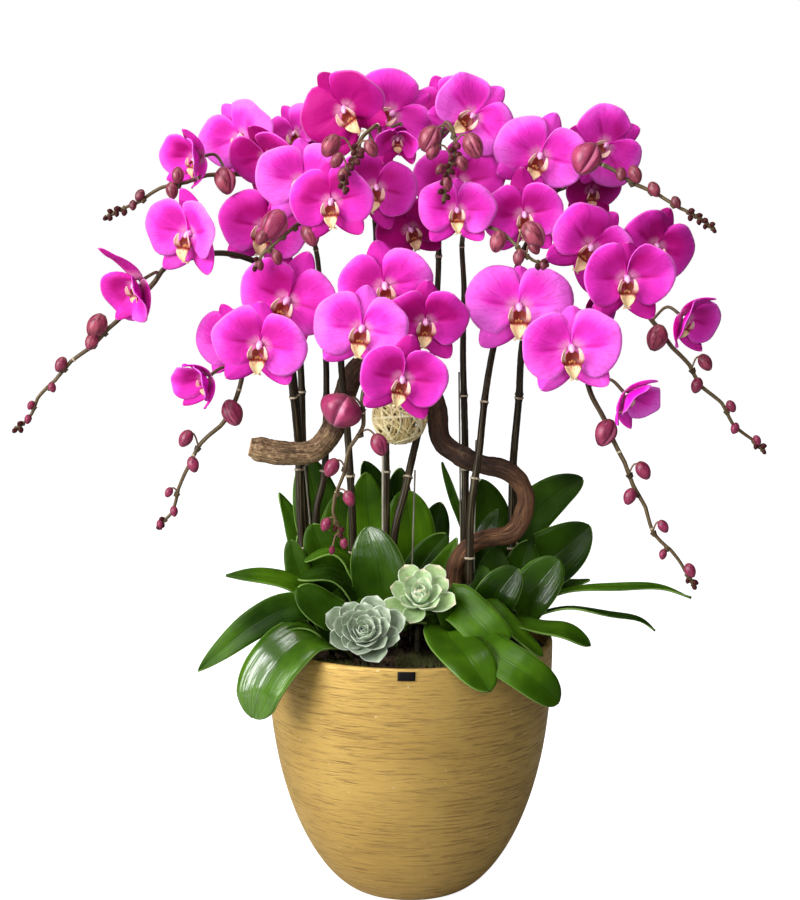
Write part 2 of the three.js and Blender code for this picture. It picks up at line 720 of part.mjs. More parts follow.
function makeRosette({ at, foot, radius, pitch, rings }) {
  const centre = spot(at);
  const basis = bloomBasis({ yaw: 0, pitch, roll: 0 });
  const { halfWidths, places } = rosetteLeaf;
  const stalkRoute = [standing(foot), standing(foot, uprightStart), centre];
  const parts = [
    tube(stalkRoute, rosetteStalk.radius, rosetteStalk.radius, rosetteStalk.sides, rosetteStalk.steps),
  ];
  rings.forEach((count, ring) => {
    const degrees = rosetteLeaf.opening + rosetteLeaf.openingStep * ring;
    const opening = THREE.MathUtils.degToRad(degrees);
    const length = radius * (1 - rosetteLeaf.shrink * ring);
    for (let leaf = 0; leaf < count; leaf += 1) {
      const turn = (2 * Math.PI * (leaf + 0.5 * ring)) / count;
      const way = new THREE.Vector3(
        Math.cos(turn) * Math.cos(opening),
        Math.sin(turn) * Math.cos(opening),
        Math.sin(opening),
      ).transformDirection(basis);
      const face = new THREE.Vector3(
        -Math.cos(turn) * Math.sin(opening),
        -Math.sin(turn) * Math.sin(opening),
        Math.cos(opening),
      ).transformDirection(basis);
      const side = new THREE.Vector3().crossVectors(face, way);
      parts.push(skin(3, 4, (part, sweep, row) => {
        const thick = halfWidths[row] === 0 ? 0 : rosetteLeaf.halfThickness;
        return centre.clone()
          .addScaledVector(way, places[row] * length)
          .addScaledVector(side, halfWidths[row] * length * Math.cos(sweep))
          .addScaledVector(face, thick * Math.sin(sweep));
      }));
    }
  });
  return join(parts);
}

makeLeaves();
makeSpikes();
makeVine();
makeBall();
for (const [name, rosette] of Object.entries(rosettes)) {
  addPiece(name, makeRosette(rosette), finish(rosette.color, 0.6));
}

export default orchid;
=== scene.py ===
# A moth orchid in its gold pot: eleven arching flower spikes over glossy leaves, with two
# succulents, a twisted vine and a rattan ball. Metres, +Z up, the front towards -Y.
# Geometry Nodes sweep the stems and the vine, weave the ball, set out the succulents' leaves
# and scatter the bark; petals, leaves and the pot are plain mesh grids.

import bpy
import bmesh
import random
from math import atan2, cos, exp, hypot, pi, radians, sin, sqrt
from mathutils import Matrix, Vector, noise


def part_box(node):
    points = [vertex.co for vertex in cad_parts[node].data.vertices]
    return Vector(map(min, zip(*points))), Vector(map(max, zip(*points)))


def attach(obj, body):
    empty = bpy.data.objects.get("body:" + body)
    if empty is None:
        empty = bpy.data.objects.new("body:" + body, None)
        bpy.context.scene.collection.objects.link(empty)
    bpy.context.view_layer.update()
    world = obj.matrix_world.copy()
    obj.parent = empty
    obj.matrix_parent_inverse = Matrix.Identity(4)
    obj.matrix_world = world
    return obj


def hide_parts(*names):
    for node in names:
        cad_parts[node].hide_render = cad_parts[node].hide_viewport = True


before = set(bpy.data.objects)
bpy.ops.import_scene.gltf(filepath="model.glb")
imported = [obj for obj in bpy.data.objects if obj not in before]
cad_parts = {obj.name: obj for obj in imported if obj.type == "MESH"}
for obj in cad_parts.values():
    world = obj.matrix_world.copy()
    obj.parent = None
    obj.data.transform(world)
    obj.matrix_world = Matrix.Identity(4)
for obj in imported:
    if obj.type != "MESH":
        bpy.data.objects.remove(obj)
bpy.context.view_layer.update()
scene = bpy.context.scene

# The place that the columns and rows below were read from
eye = {
    "across": -0.010,
    "distance": 2.0,
    "height": 0.715,
    "pitch": radians(7.6),
    "focal": 2018.0,
    "centreColumn": 400.0,
    "centreRow": 450.0,
    "frameHeight": 900.0,
}
mixTop = 0.246  # top of the potting mix
seatGap = 0.0003
uprightRise = 0.008  # how far a stem stands straight up from the mix
millimetre = 0.001
fullTurn = 2 * pi


def spot(place):
    # column, row and millimetres forward of the pot's axis, as a place in metres
    column, row, forward = place
    across = (column - eye["centreColumn"]) / eye["focal"]
    rise = (eye["centreRow"] - row) / eye["focal"]
    level = cos(eye["pitch"]) + rise * sin(eye["pitch"])
    climb = rise * cos(eye["pitch"]) - sin(eye["pitch"])
    reach = (eye["distance"] - forward * millimetre) / level
    return Vector((eye["across"] + across * reach, -forward * millimetre,
                   eye["height"] + climb * reach))


def standing(foot, lift=0.0):
    across, forward = foot
    return Vector((across * millimetre, -forward * millimetre, mixTop + seatGap + lift))


def rooted(foot, route):
    # a route that starts straight up from the mix
    return [standing(foot), standing(foot, uprightRise)] + [spot(p) for p in route]


def mix(a, b, t):
    return a + (b - a) * t


def smooth(low, high, value):
    t = min(1.0, max(0.0, (value - low) / (high - low)))
    return t * t * (3 - 2 * t)


# Small helpers for node trees and meshes
def addNode(tree, kind, inputs=None, **settings):
    node = tree.nodes.new(kind)
    for key, value in settings.items():
        setattr(node, key, value)
    for key, value in (inputs or {}).items():
        if isinstance(key, int):
            socket = node.inputs[key]
        else:
            socket = next(s for s in node.inputs if s.name == key and s.enabled)
        if isinstance(value, bpy.types.NodeSocket):
            tree.links.new(value, socket)
        else:
            socket.default_value = value
    return node


def out(node, name=None):
    if name is None:
        return next(s for s in node.outputs if s.enabled)
    return next(s for s in node.outputs if s.name == name and s.enabled)


def newTree(name, inputs):
    tree = bpy.data.node_groups.new(name, "GeometryNodeTree")
    tree.is_modifier = True
    tree.interface.new_socket("Geometry", in_out="INPUT", socket_type="NodeSocketGeometry")
    for label, kind in inputs.items():
        tree.interface.new_socket(label, in_out="INPUT", socket_type="NodeSocket" + kind)
    tree.interface.new_socket("Geometry", in_out="OUTPUT", socket_type="NodeSocketGeometry")
    return tree, tree.nodes.new("NodeGroupInput"), tree.nodes.new("NodeGroupOutput")


def randomValue(tree, low, high, seed, kind="FLOAT"):
    return out(addNode(tree, "FunctionNodeRandomValue", {"Min": low, "Max": high, "Seed": seed},
                       data_type=kind))


def asRotation(tree, euler):
    return out(addNode(tree, "FunctionNodeEulerToRotation", {"Euler": euler}))


def realized(tree, copies):
    return out(addNode(tree, "GeometryNodeRealizeInstances", {"Geometry": copies}))


def smoothed(tree, shape):
    return out(addNode(tree, "GeometryNodeSetShadeSmooth", {"Geometry": shape}))


def storeValue(tree, shape, name, value, kind="FLOAT", domain="POINT"):
    return out(addNode(tree, "GeometryNodeStoreNamedAttribute", {
        "Geometry": shape, "Name": name, "Value": value}, data_type=kind, domain=domain))


def endTree(tree, end, shape, material):
    # the shape in its material is what the tree gives
    done = addNode(tree, "GeometryNodeSetMaterial", {"Geometry": shape, "Material": material})
    tree.links.new(out(done), end.inputs["Geometry"])
    return tree


def settle(piece):
    # the modified shape becomes the piece's own plain mesh
    graph = bpy.context.evaluated_depsgraph_get()
    mesh = bpy.data.meshes.new_from_object(
        piece.evaluated_get(graph), preserve_all_data_layers=True, depsgraph=graph)
    mesh.name = piece.name
    piece.modifiers.clear()
    piece.data = mesh
    kept = []
    marks = [0] * len(mesh.polygons)
    mesh.polygons.foreach_get("material_index", marks)
    places = {}
    for index, material in enumerate(mesh.materials):
        if material and material not in kept:
            kept.append(material)
        places[index] = kept.index(material) if material else 0
    mesh.materials.clear()
    for material in kept:
        mesh.materials.append(material)
    mesh.polygons.foreach_set("material_index", [places.get(mark, 0) for mark in marks])
    return piece


def runTree(piece, tree, values):
    modifier = piece.modifiers.new(tree.name, "NODES")
    modifier.node_group = tree
    for item in tree.interface.items_tree:
        if item.item_type == "SOCKET" and item.in_out == "INPUT" and item.name in values:
            modifier[item.identifier] = values[item.name]
    return settle(piece)


def newPiece(name, mesh):
    piece = bpy.data.objects.new(name, mesh)
    scene.collection.objects.link(piece)
    return piece


def meshPiece(name, verts, faces, materials, uvs=None, faceMaterials=None):
    # uvs holds one pair for each vertex, or two pairs: its route and its shade
    mesh = bpy.data.meshes.new(name)
    mesh.from_pydata([tuple(v) for v in verts], [], faces)
    for material in materials:
        mesh.materials.append(material)
    for first, label in ((0, "route"), (2, "shade")):
        if uvs and len(uvs[0]) > first:
            layer = mesh.uv_layers.new(name=label)
            for loop in mesh.loops:
                layer.data[loop.index].uv = uvs[loop.vertex_index][first:first + 2]
    if faceMaterials:
        mesh.polygons.foreach_set("material_index", faceMaterials)
    mesh.polygons.foreach_set("use_smooth", [True] * len(mesh.polygons))
    mesh.update()
    return newPiece(name, mesh)


class Sheets:
    # gathers grids of points into one mesh
    def __init__(self):
        self.verts = []
        self.faces = []
        self.uvs = []
        self.marks = []

    def grid(self, rows, columns, place, mark=0, closed=False):
        # place(a, b) gives a point and its uv, for a and b from 0 to 1
        start = len(self.verts)
        wide = columns if closed else columns + 1
        for row in range(rows + 1):
            for column in range(wide):
                point, uv = place(row / rows, column / columns)
                self.verts.append(point)
                self.uvs.append(uv)
        for row in range(rows):
            for column in range(columns):
                right = (column + 1) % wide if closed else column + 1
                a = start + row * wide + column
                b = start + row * wide + right
                self.faces.append((a, b, b + wide, a + wide))
                self.marks.append(mark)
        return start

    def cap(self, start, count, mark, flip=False):
        ring = list(range(start, start + count))
        self.faces.append(tuple(reversed(ring)) if flip else tuple(ring))
        self.marks.append(mark)

    def closeEnds(self, start, rows, sides, mark=0):
        # a face over both ends of a closed grid
        self.cap(start, sides, mark, flip=True)
        self.cap(start + rows * sides, sides, mark)

    def piece(self, name, materials):
        return meshPiece(name, self.verts, self.faces, materials, self.uvs, self.marks)


def thicken(piece, thickness, backOffset=0):
    solid = piece.modifiers.new("thickness", "SOLIDIFY")
    solid.thickness = thickness
    solid.offset = 0.0
    solid.material_offset = backOffset
    settle(piece)


def joinPieces(keeper, others):
    # one mesh from several, with their materials kept apart
    gathered = bmesh.new()
    gathered.from_mesh(keeper.data)
    for other in others:
        lookup = {}
        for index, material in enumerate(other.data.materials):
            if material.name not in keeper.data.materials:
                keeper.data.materials.append(material)
            lookup[index] = keeper.data.materials.find(material.name)
        before = len(gathered.faces)
        gathered.from_mesh(other.data)
        gathered.faces.ensure_lookup_table()
        for face in gathered.faces[before:]:
            face.material_index = lookup[face.material_index]
        bpy.data.objects.remove(other)
    gathered.to_mesh(keeper.data)
    gathered.free()


def catmullRoute(points, perSpan):
    # the centripetal curve through the points
    line = []
    last = len(points) - 2
    for index in range(last + 1):
        p1, p2 = points[index], points[index + 1]
        p0 = points[index - 1] if index > 0 else p1 * 2 - p2
        p3 = points[index + 2] if index < last else p2 * 2 - p1
        d0, d1, d2 = ((b - a).length ** 0.5 for a, b in ((p0, p1), (p1, p2), (p2, p3)))
        m1 = ((p1 - p0) / d0 - (p2 - p0) / (d0 + d1) + (p2 - p1) / d1) * d1
        m2 = ((p2 - p1) / d1 - (p3 - p1) / (d1 + d2) + (p3 - p2) / d2) * d1
        steps = perSpan if index < last else perSpan + 1
        for step in range(steps):
            t = step / perSpan
            a = 2 * t ** 3 - 3 * t ** 2 + 1
            b = t ** 3 - 2 * t ** 2 + t
            line.append(p1 * a + m1 * b + p2 * (1 - a) + m2 * (t ** 3 - t ** 2))
    return line


def evenRoute(line, gap):
    # the same route with points a steady gap apart
    total = sum((b - a).length for a, b in zip(line, line[1:]))
    count = max(2, round(total / gap))
    step = total / count
    even = [line[0].copy()]
    left = step
    for a, b in zip(line, line[1:]):
        span = (b - a).length
        done = 0.0
        while span - done >= left - 1e-9 and len(even) < count:
            done += left
            even.append(a.lerp(b, done / span))
            left = step
        left -= span - done
    even.append(line[-1].copy())
    return even


# Small helpers for materials
def newMaterial(name, constants):
    material = bpy.data.materials.new(name)
    material.use_nodes = True
    shader = material.node_tree.nodes["Principled BSDF"]
    for key, value in constants.items():
        shader.inputs[key].default_value = value
    return material, material.node_tree, shader


def ramp(tree, value, stops):
    node = addNode(tree, "ShaderNodeValToRGB", {"Fac": value})
    band = node.color_ramp
    while len(band.elements) < len(stops):
        band.elements.new(0.5)
    for element, (place, colour) in zip(band.elements, stops):
        element.position = place
        element.color = (*colour, 1.0)
    return out(node)


def grey(tree, value, low, high, first=0.0, last=1.0):
    node = addNode(tree, "ShaderNodeMapRange", {
        "Value": value, "From Min": low, "From Max": high, "To Min": first, "To Max": last},
        interpolation_type="SMOOTHSTEP")
    return out(node)


def blendColour(tree, factor, a, b):
    # a colour is a socket or three numbers
    a, b = ((*c, 1) if isinstance(c, tuple) else c for c in (a, b))
    node = addNode(tree, "ShaderNodeMix", {"Factor": factor, "A": a, "B": b}, data_type="RGBA")
    return out(node, "Result")


def maths(tree, operation, a, b=0.0):
    return out(addNode(tree, "ShaderNodeMath", {0: a, 1: b}, operation=operation))


def times(tree, a, b):
    return maths(tree, "MULTIPLY", a, b)


def plus(tree, a, b):
    return maths(tree, "ADD", a, b)


def stretched(tree, vector, scale):
    return out(addNode(tree, "ShaderNodeMapping", {"Vector": vector, "Scale": scale}))


def objectPoints(tree, scale=(1, 1, 1)):
    return stretched(tree, out(addNode(tree, "ShaderNodeTexCoord"), "Object"), scale)


def noiseValue(tree, vector, scale, detail=4.0, roughness=0.55, distortion=0.0):
    return out(addNode(tree, "ShaderNodeTexNoise", {
        "Vector": vector, "Scale": scale, "Detail": detail, "Roughness": roughness,
        "Distortion": distortion}), "Fac")


def bodyNoise(tree, *settings):
    return noiseValue(tree, objectPoints(tree), *settings)


def routeParts(tree):
    # the two numbers of the piece's own route map
    uv = out(addNode(tree, "ShaderNodeUVMap", uv_map="route"))
    parts = addNode(tree, "ShaderNodeSeparateXYZ", {"Vector": uv})
    return uv, parts.outputs["X"], parts.outputs["Y"]


def shadeParts(tree):
    # the two numbers of the piece's second map
    shade = out(addNode(tree, "ShaderNodeUVMap", uv_map="shade"))
    parts = addNode(tree, "ShaderNodeSeparateXYZ", {"Vector": shade})
    return parts.outputs["X"], parts.outputs["Y"]


def addBump(tree, shader, height, strength, distance, coated=False):
    bump = addNode(tree, "ShaderNodeBump", {
        "Height": height, "Strength": strength, "Distance": distance})
    tree.links.new(out(bump), shader.inputs["Normal"])
    if coated:
        tree.links.new(out(bump), shader.inputs["Coat Normal"])


def paint(tree, shader, colour, roughness=None):
    tree.links.new(colour, shader.inputs["Base Color"])
    if roughness is not None:
        tree.links.new(roughness, shader.inputs["Roughness"])


# Camera, light and floor
studio = {
    "world": 0.066,
    "backdrop": 1.0,
    "mirrored": 0.02,
    "floorGlow": 0.985,
    "floorSize": 400.0,
    "floorColour": (0.46, 0.46, 0.46, 1),
    "lamps": {
        "windowLeft": {"place": (-2.7, -2.0, 1.7), "size": 2.6, "power": 190.0},
        "topPanel": {"place": (-0.5, -0.7, 3.0), "size": 1.5, "power": 34.0},
        "frontFill": {"place": (0.35, -1.7, 1.25), "size": 0.8, "power": 1.1, "spread": 42,
                      "aim": (0.08, 0.0, 0.70)},
        "rimBack": {"place": (-1.3, 2.3, 1.9), "size": 1.2, "power": 9.0, "spread": 180},
    },
    "aim": (0.0, 0.0, 0.45),
}


def makeStudio():
    camera = bpy.data.objects.new("camera", bpy.data.cameras.new("camera"))
    scene.collection.objects.link(camera)
    camera.location = (eye["across"], -eye["distance"], eye["height"])
    camera.rotation_euler = (pi / 2 - eye["pitch"], 0, 0)
    camera.data.sensor_width = 36.0
    camera.data.lens = 36.0 * eye["focal"] / eye["frameHeight"]
    scene.camera = camera

    for name, lamp in studio["lamps"].items():
        light = bpy.data.lights.new(name, "AREA")
        light.shape = "SQUARE"
        light.size = lamp["size"]
        light.energy = lamp["power"]
        light.spread = radians(lamp.get("spread", 180))
        holder = bpy.data.objects.new(name, light)
        holder.location = lamp["place"]
        aim = Vector(lamp.get("aim", studio["aim"])) - Vector(lamp["place"])
        holder.rotation_euler = aim.to_track_quat("-Z", "Y").to_euler()
        # the two weak lamps leave no gloss of their own
        holder.visible_glossy = "spread" not in lamp
        scene.collection.objects.link(holder)

    world = bpy.data.worlds.new("softRoom")
    scene.world = world
    world.use_nodes = True
    tree = world.node_tree
    background = tree.nodes["Background"]
    # the room behind the camera's view is pale, and what leaves and petals mirror is dim
    path = addNode(tree, "ShaderNodeLightPath")
    lighting = grey(tree, out(path, "Is Glossy Ray"), 0, 1, studio["world"], studio["mirrored"])
    seen = out(path, "Is Camera Ray")
    strength = maths(tree, "MAXIMUM", lighting, grey(tree, seen, 0, 1, 0.0, studio["backdrop"]))
    background.inputs["Color"].default_value = (1, 1, 1, 1)
    tree.links.new(strength, background.inputs["Strength"])

    half = studio["floorSize"] / 2
    floor = meshPiece("floor", [(-half, -half, 0), (half, -half, 0), (half, half, 0),
                                (-half, half, 0)], [(0, 1, 2, 3)], [])
    # the floor and the room look equally pale, however little light they give
    material, tree, shader = newMaterial("paleFloor", {"Roughness": 0.8,
        "Base Color": studio["floorColour"], "Emission Color": (1, 1, 1, 1)})
    seen = out(addNode(tree, "ShaderNodeLightPath"), "Is Camera Ray")
    glow = grey(tree, seen, 0, 1, 0.0, studio["floorGlow"])
    tree.links.new(glow, shader.inputs["Emission Strength"])
    floor.data.materials.append(material)
    scene.view_settings.view_transform = "Standard"
    scene.view_settings.look = "None"


makeStudio()
print("camera, light and floor are set")


# The pot
pot = {
    "height": 0.259,
    "rim": 0.144,
    "foot": 0.0524,
    "wall": 0.006,
    "floor": 0.009,
    "fullness": 2.33,
    "squareness": 1.58,
    "sides": 144,
    "rows": 54,
    "innerRows": 12,
    "lipFrom": 0.984,
    "crowding": 1.45,
}


def potRadius(height):
    left = 1 - min(1.0, height / pot["height"])
    swell = 1 - left ** pot["fullness"]
    return pot["foot"] + (pot["rim"] - pot["foot"]) * swell ** (1 / pot["squareness"])


def goldMaterial():
    material, tree, shader = newMaterial("brushedGold", {"Metallic": 0.35, "Coat Weight": 0.06,
        "Coat Roughness": 0.3})
    grain = noiseValue(tree, objectPoints(tree, (8.0, 8.0, 150.0)), 3.2, 6.0, 0.65, 0.8)
    fine = noiseValue(tree, objectPoints(tree, (22.0, 22.0, 560.0)), 3.0, 3.0, 0.6, 0.5)
    cloud = noiseValue(tree, objectPoints(tree, (1, 1, 1.6)), 9.0, 3.0)
    base = ramp(tree, cloud, [(0.3, (0.53, 0.330, 0.076)), (0.7, (0.65, 0.420, 0.108))])
    streak = grey(tree, grain, 0.48, 0.72)
    dark = blendColour(tree, times(tree, streak, 0.85), base,
                       (0.26, 0.150, 0.038))
    thin = grey(tree, fine, 0.52, 0.72, 0.0, 0.6)
    lined = blendColour(tree, thin, dark, (0.30, 0.180, 0.05))
    specks = grey(tree, bodyNoise(tree, 190.0, 2.0), 0.71, 0.76, 0.0, 0.7)
    paint(tree, shader, blendColour(tree, specks, lined, (0.75, 0.6, 0.38)),
          grey(tree, grain, 0.3, 0.7, 0.38, 0.6))
    height = plus(tree, times(tree, streak, -0.7),
                   times(tree, fine, 0.5))
    addBump(tree, shader, height, 0.8, 0.0008)
    return material


def makePot():
    sheets = Sheets()
    profile = [(0.0, 0.0), (pot["foot"] * 0.5, 0.0)]
    for row in range(pot["rows"] + 1):
        height = pot["height"] * pot["lipFrom"] * (row / pot["rows"]) ** pot["crowding"]
        profile.append((potRadius(height), height))
    top, rim, wall = pot["height"], pot["rim"], pot["wall"]
    for part in (0.25, 0.5, 0.75):  # the rounded lip
        turn = pi * part
        profile.append((rim - wall / 2 + wall / 2 * cos(turn),
                        top - wall / 2 + wall / 2 * sin(turn)))
    for row in range(pot["innerRows"] + 1):
        height = mix(top * pot["lipFrom"], pot["floor"], row / pot["innerRows"])
        profile.append((potRadius(height) - wall, height))
    profile.append((0.0, pot["floor"]))

    def place(a, b):
        radius, height = profile[round(a * (len(profile) - 1))]
        turn = fullTurn * b
        radius = max(radius, 1e-5)
        return Vector((radius * cos(turn), radius * sin(turn), height)), (b, a)

    rows = len(profile) - 1
    sheets.closeEnds(sheets.grid(rows, pot["sides"], place, closed=True), rows, pot["sides"])
    piece = sheets.piece("gold_pot", [goldMaterial()])
    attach(piece, "root")
    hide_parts("pot")


soil = {
    "rings": 26,
    "sides": 84,
    "wallGap": 0.0006,
    "floorGap": 0.001,
    "wallRows": 8,
    "lumps": 0.005,
    "chips": 900,
    "mossTufts": 520,
    "mossPatches": [(-0.080, -0.104), (0.018, -0.078), (0.02, 0.07)],
}


def grainMaterial(name, low, high, scale, highFrom=0.7, roughness=0.95, detail=5.0,
                  grit=0.65, stretch=(1, 1, 1), bump=(0.8, 0.002)):
    # two colours told apart by one noise
    material, tree, shader = newMaterial(name, {"Roughness": roughness})
    value = noiseValue(tree, objectPoints(tree, stretch), scale, detail, grit)
    paint(tree, shader, ramp(tree, value, [(0.3, low), (highFrom, high)]))
    addBump(tree, shader, value, *bump)
    return material


def scatterTree(name):
    # copies of one shape on points that carry their own turn and size
    tree, begin, end = newTree(name, {"Shape": "Object", "Smallest": "Float",
                                      "Largest": "Float", "Tilt": "Float", "Seed": "Int",
                                      "Material": "Material"})
    take = begin.outputs
    shape = addNode(tree, "GeometryNodeObjectInfo", {"Object": take["Shape"]})
    tilt = take["Tilt"]
    lean = times(tree, tilt, -1.0)
    low = addNode(tree, "ShaderNodeCombineXYZ", {"X": lean, "Y": lean, "Z": -3.14159})
    high = addNode(tree, "ShaderNodeCombineXYZ", {"X": tilt, "Y": tilt, "Z": 3.14159})
    turn = randomValue(tree, out(low), out(high), take["Seed"], "FLOAT_VECTOR")
    copies = addNode(tree, "GeometryNodeInstanceOnPoints", {
        "Points": take["Geometry"], "Instance": out(shape, "Geometry"),
        "Rotation": asRotation(tree, turn),
        "Scale": randomValue(tree, take["Smallest"], take["Largest"], take["Seed"])})
    return endTree(tree, end, realized(tree, out(copies)), take["Material"])


def scatter(name, points, shape, values):
    mesh = bpy.data.meshes.new(name)
    mesh.from_pydata([tuple(p) for p in points], [], [])
    piece = newPiece(name, mesh)
    runTree(piece, scatterTree(name + "Tree"), {
        "Shape": shape, "Material": shape.data.materials[0], **values})
    bpy.data.objects.remove(shape)
    return piece


def chunk(name, material, stretch, seed):
    # a small rough lump, one unit across
    body = bmesh.new()
    bmesh.ops.create_icosphere(body, subdivisions=1, radius=0.5)
    for vert in body.verts:
        push = 1 + 0.35 * noise.noise(vert.co * 2.3 + Vector((seed, 0, 0)))
        vert.co = Vector((vert.co.x * stretch[0], vert.co.y * stretch[1],
                          vert.co.z * stretch[2])) * push
    mesh = bpy.data.meshes.new(name)
    body.to_mesh(mesh)
    body.free()
    mesh.materials.append(material)
    return newPiece(name, mesh)


def tuft(name, material):
    # a spray of five thin spikes, one unit high
    sheets = Sheets()
    for spike in range(5):
        turn = spike * 2 * pi / 5
        lean = 0.45 if spike else 0.05

        def place(a, b):
            width = 0.09 * (1 - a) + 0.004
            side = fullTurn * b
            return Vector((cos(turn) * lean * a + width * cos(side),
                           sin(turn) * lean * a + width * sin(side), a)), (a, b)

        sheets.closeEnds(sheets.grid(2, 3, place, closed=True), 2, 3)
    return sheets.piece(name, [material])


def makeSoil():
    rng = random.Random(11)
    inner = potRadius(mixTop) - pot["wall"] - soil["wallGap"]
    bottom = pot["floor"] + soil["floorGap"]
    profile = [(0.0, bottom)]
    for row in range(soil["wallRows"] + 1):
        height = mix(bottom, mixTop - 0.003, row / soil["wallRows"])
        profile.append((potRadius(height) - pot["wall"] - soil["wallGap"], height))
    for ring in range(soil["rings"] + 1):
        profile.append((inner * (1 - ring / soil["rings"]), mixTop))

    def place(a, b):
        radius, height = profile[round(a * (len(profile) - 1))]
        turn = fullTurn * b
        point = Vector((max(radius, 1e-5) * cos(turn), max(radius, 1e-5) * sin(turn),
                        height))
        if height >= mixTop:
            lump = noise.fractal(point * 42, 1.0, 2.0, 3)
            point.z += soil["lumps"] * (lump - 0.35) * smooth(0, 0.02, inner - radius + 0.004)
        return point, (b, a)

    sheets = Sheets()
    rows = len(profile) - 1
    sheets.closeEnds(sheets.grid(rows, soil["sides"], place, closed=True), rows, soil["sides"])
    bed = sheets.piece("soil_bed", [grainMaterial("darkSoil", (0.012, 0.008, 0.005),
                                                  (0.055, 0.036, 0.022), 60.0)])

    points = []
    for _ in range(soil["chips"]):
        radius = (inner - 0.008) * sqrt(rng.random())
        turn = rng.uniform(0, fullTurn)
        points.append((radius * cos(turn), radius * sin(turn), mixTop + 0.001))
    bark = grainMaterial("barkChips", (0.030, 0.018, 0.010), (0.12, 0.07, 0.038), 45.0)
    chips = scatter("soil_chips", points, chunk("chip", bark, (1.3, 0.8, 0.45), 3.0),
                    {"Smallest": 0.005, "Largest": 0.014, "Tilt": 0.5, "Seed": 4})

    points = []
    for _ in range(soil["mossTufts"]):
        across, depth = rng.choice(soil["mossPatches"])
        points.append((across + rng.gauss(0, 0.014), depth + rng.gauss(0, 0.010),
                       mixTop + 0.0005))
    points = [p for p in points if hypot(p[0], p[1]) < inner - 0.006]
    green = grainMaterial("moss", (0.05, 0.06, 0.015), (0.16, 0.17, 0.05), 80.0)
    moss = scatter("soil_moss", points, tuft("mossTuft", green),
                   {"Smallest": 0.005, "Largest": 0.012, "Tilt": 0.35, "Seed": 8})
    joinPieces(bed, [chips, moss])
    bed.name = "potting_bed"
    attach(bed, "root")
    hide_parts("potting_mix")


plaque = {"across": -0.004, "width": 0.0168, "height": 0.009, "belowRim": 0.0024,
          "stand": 0.0001, "thickness": 0.0011, "bevel": 0.0003}


def makePlaque():
    # a bare dark plate that follows the pot's curve
    top = pot["height"] - plaque["belowRim"]
    sheets = Sheets()

    def place(lift):
        def at(a, b):
            x = plaque["across"] + plaque["width"] * (b - 0.5)
            z = top - plaque["height"] * (1 - a)
            inset = plaque["bevel"] if lift else 0
            x -= inset * (2 * b - 1)
            z -= inset * (2 * a - 1)
            y = -sqrt((potRadius(z) + plaque["stand"] + lift) ** 2 - x * x)
            return Vector((x, y, z)), (b, a)
        return at

    rows, columns = 3, 6
    front = sheets.grid(rows, columns, place(plaque["thickness"]))
    back = sheets.grid(rows, columns, place(0.0))
    sheets.faces[rows * columns:] = [tuple(reversed(f)) for f in sheets.faces[rows * columns:]]
    wide = columns + 1
    edge = ([c for c in range(columns)] + [wide * r + columns for r in range(rows)]
            + [wide * rows + c for c in range(columns, 0, -1)]
            + [wide * r for r in range(rows, 0, -1)])
    for a, b in zip(edge, edge[1:] + edge[:1]):
        sheets.faces.append((front + b, front + a, back + a, back + b))
        sheets.marks.append(0)
    material, tree, shader = newMaterial("plaqueBlack", {"Roughness": 0.45,
        "Specular IOR Level": 0.15})
    scuff = bodyNoise(tree, 900.0, 3.0)
    paint(tree, shader, ramp(tree, scuff, [(0.3, (0.002, 0.002, 0.002)),
                                           (0.75, (0.009, 0.008, 0.007))]),
          grey(tree, scuff, 0.3, 0.7, 0.4, 0.6))
    piece = sheets.piece("blank_plaque", [material])
    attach(piece, "root")
    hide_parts("rim_plaque")


makePot()
makeSoil()
makePlaque()
print("pot, soil and plaque are made")


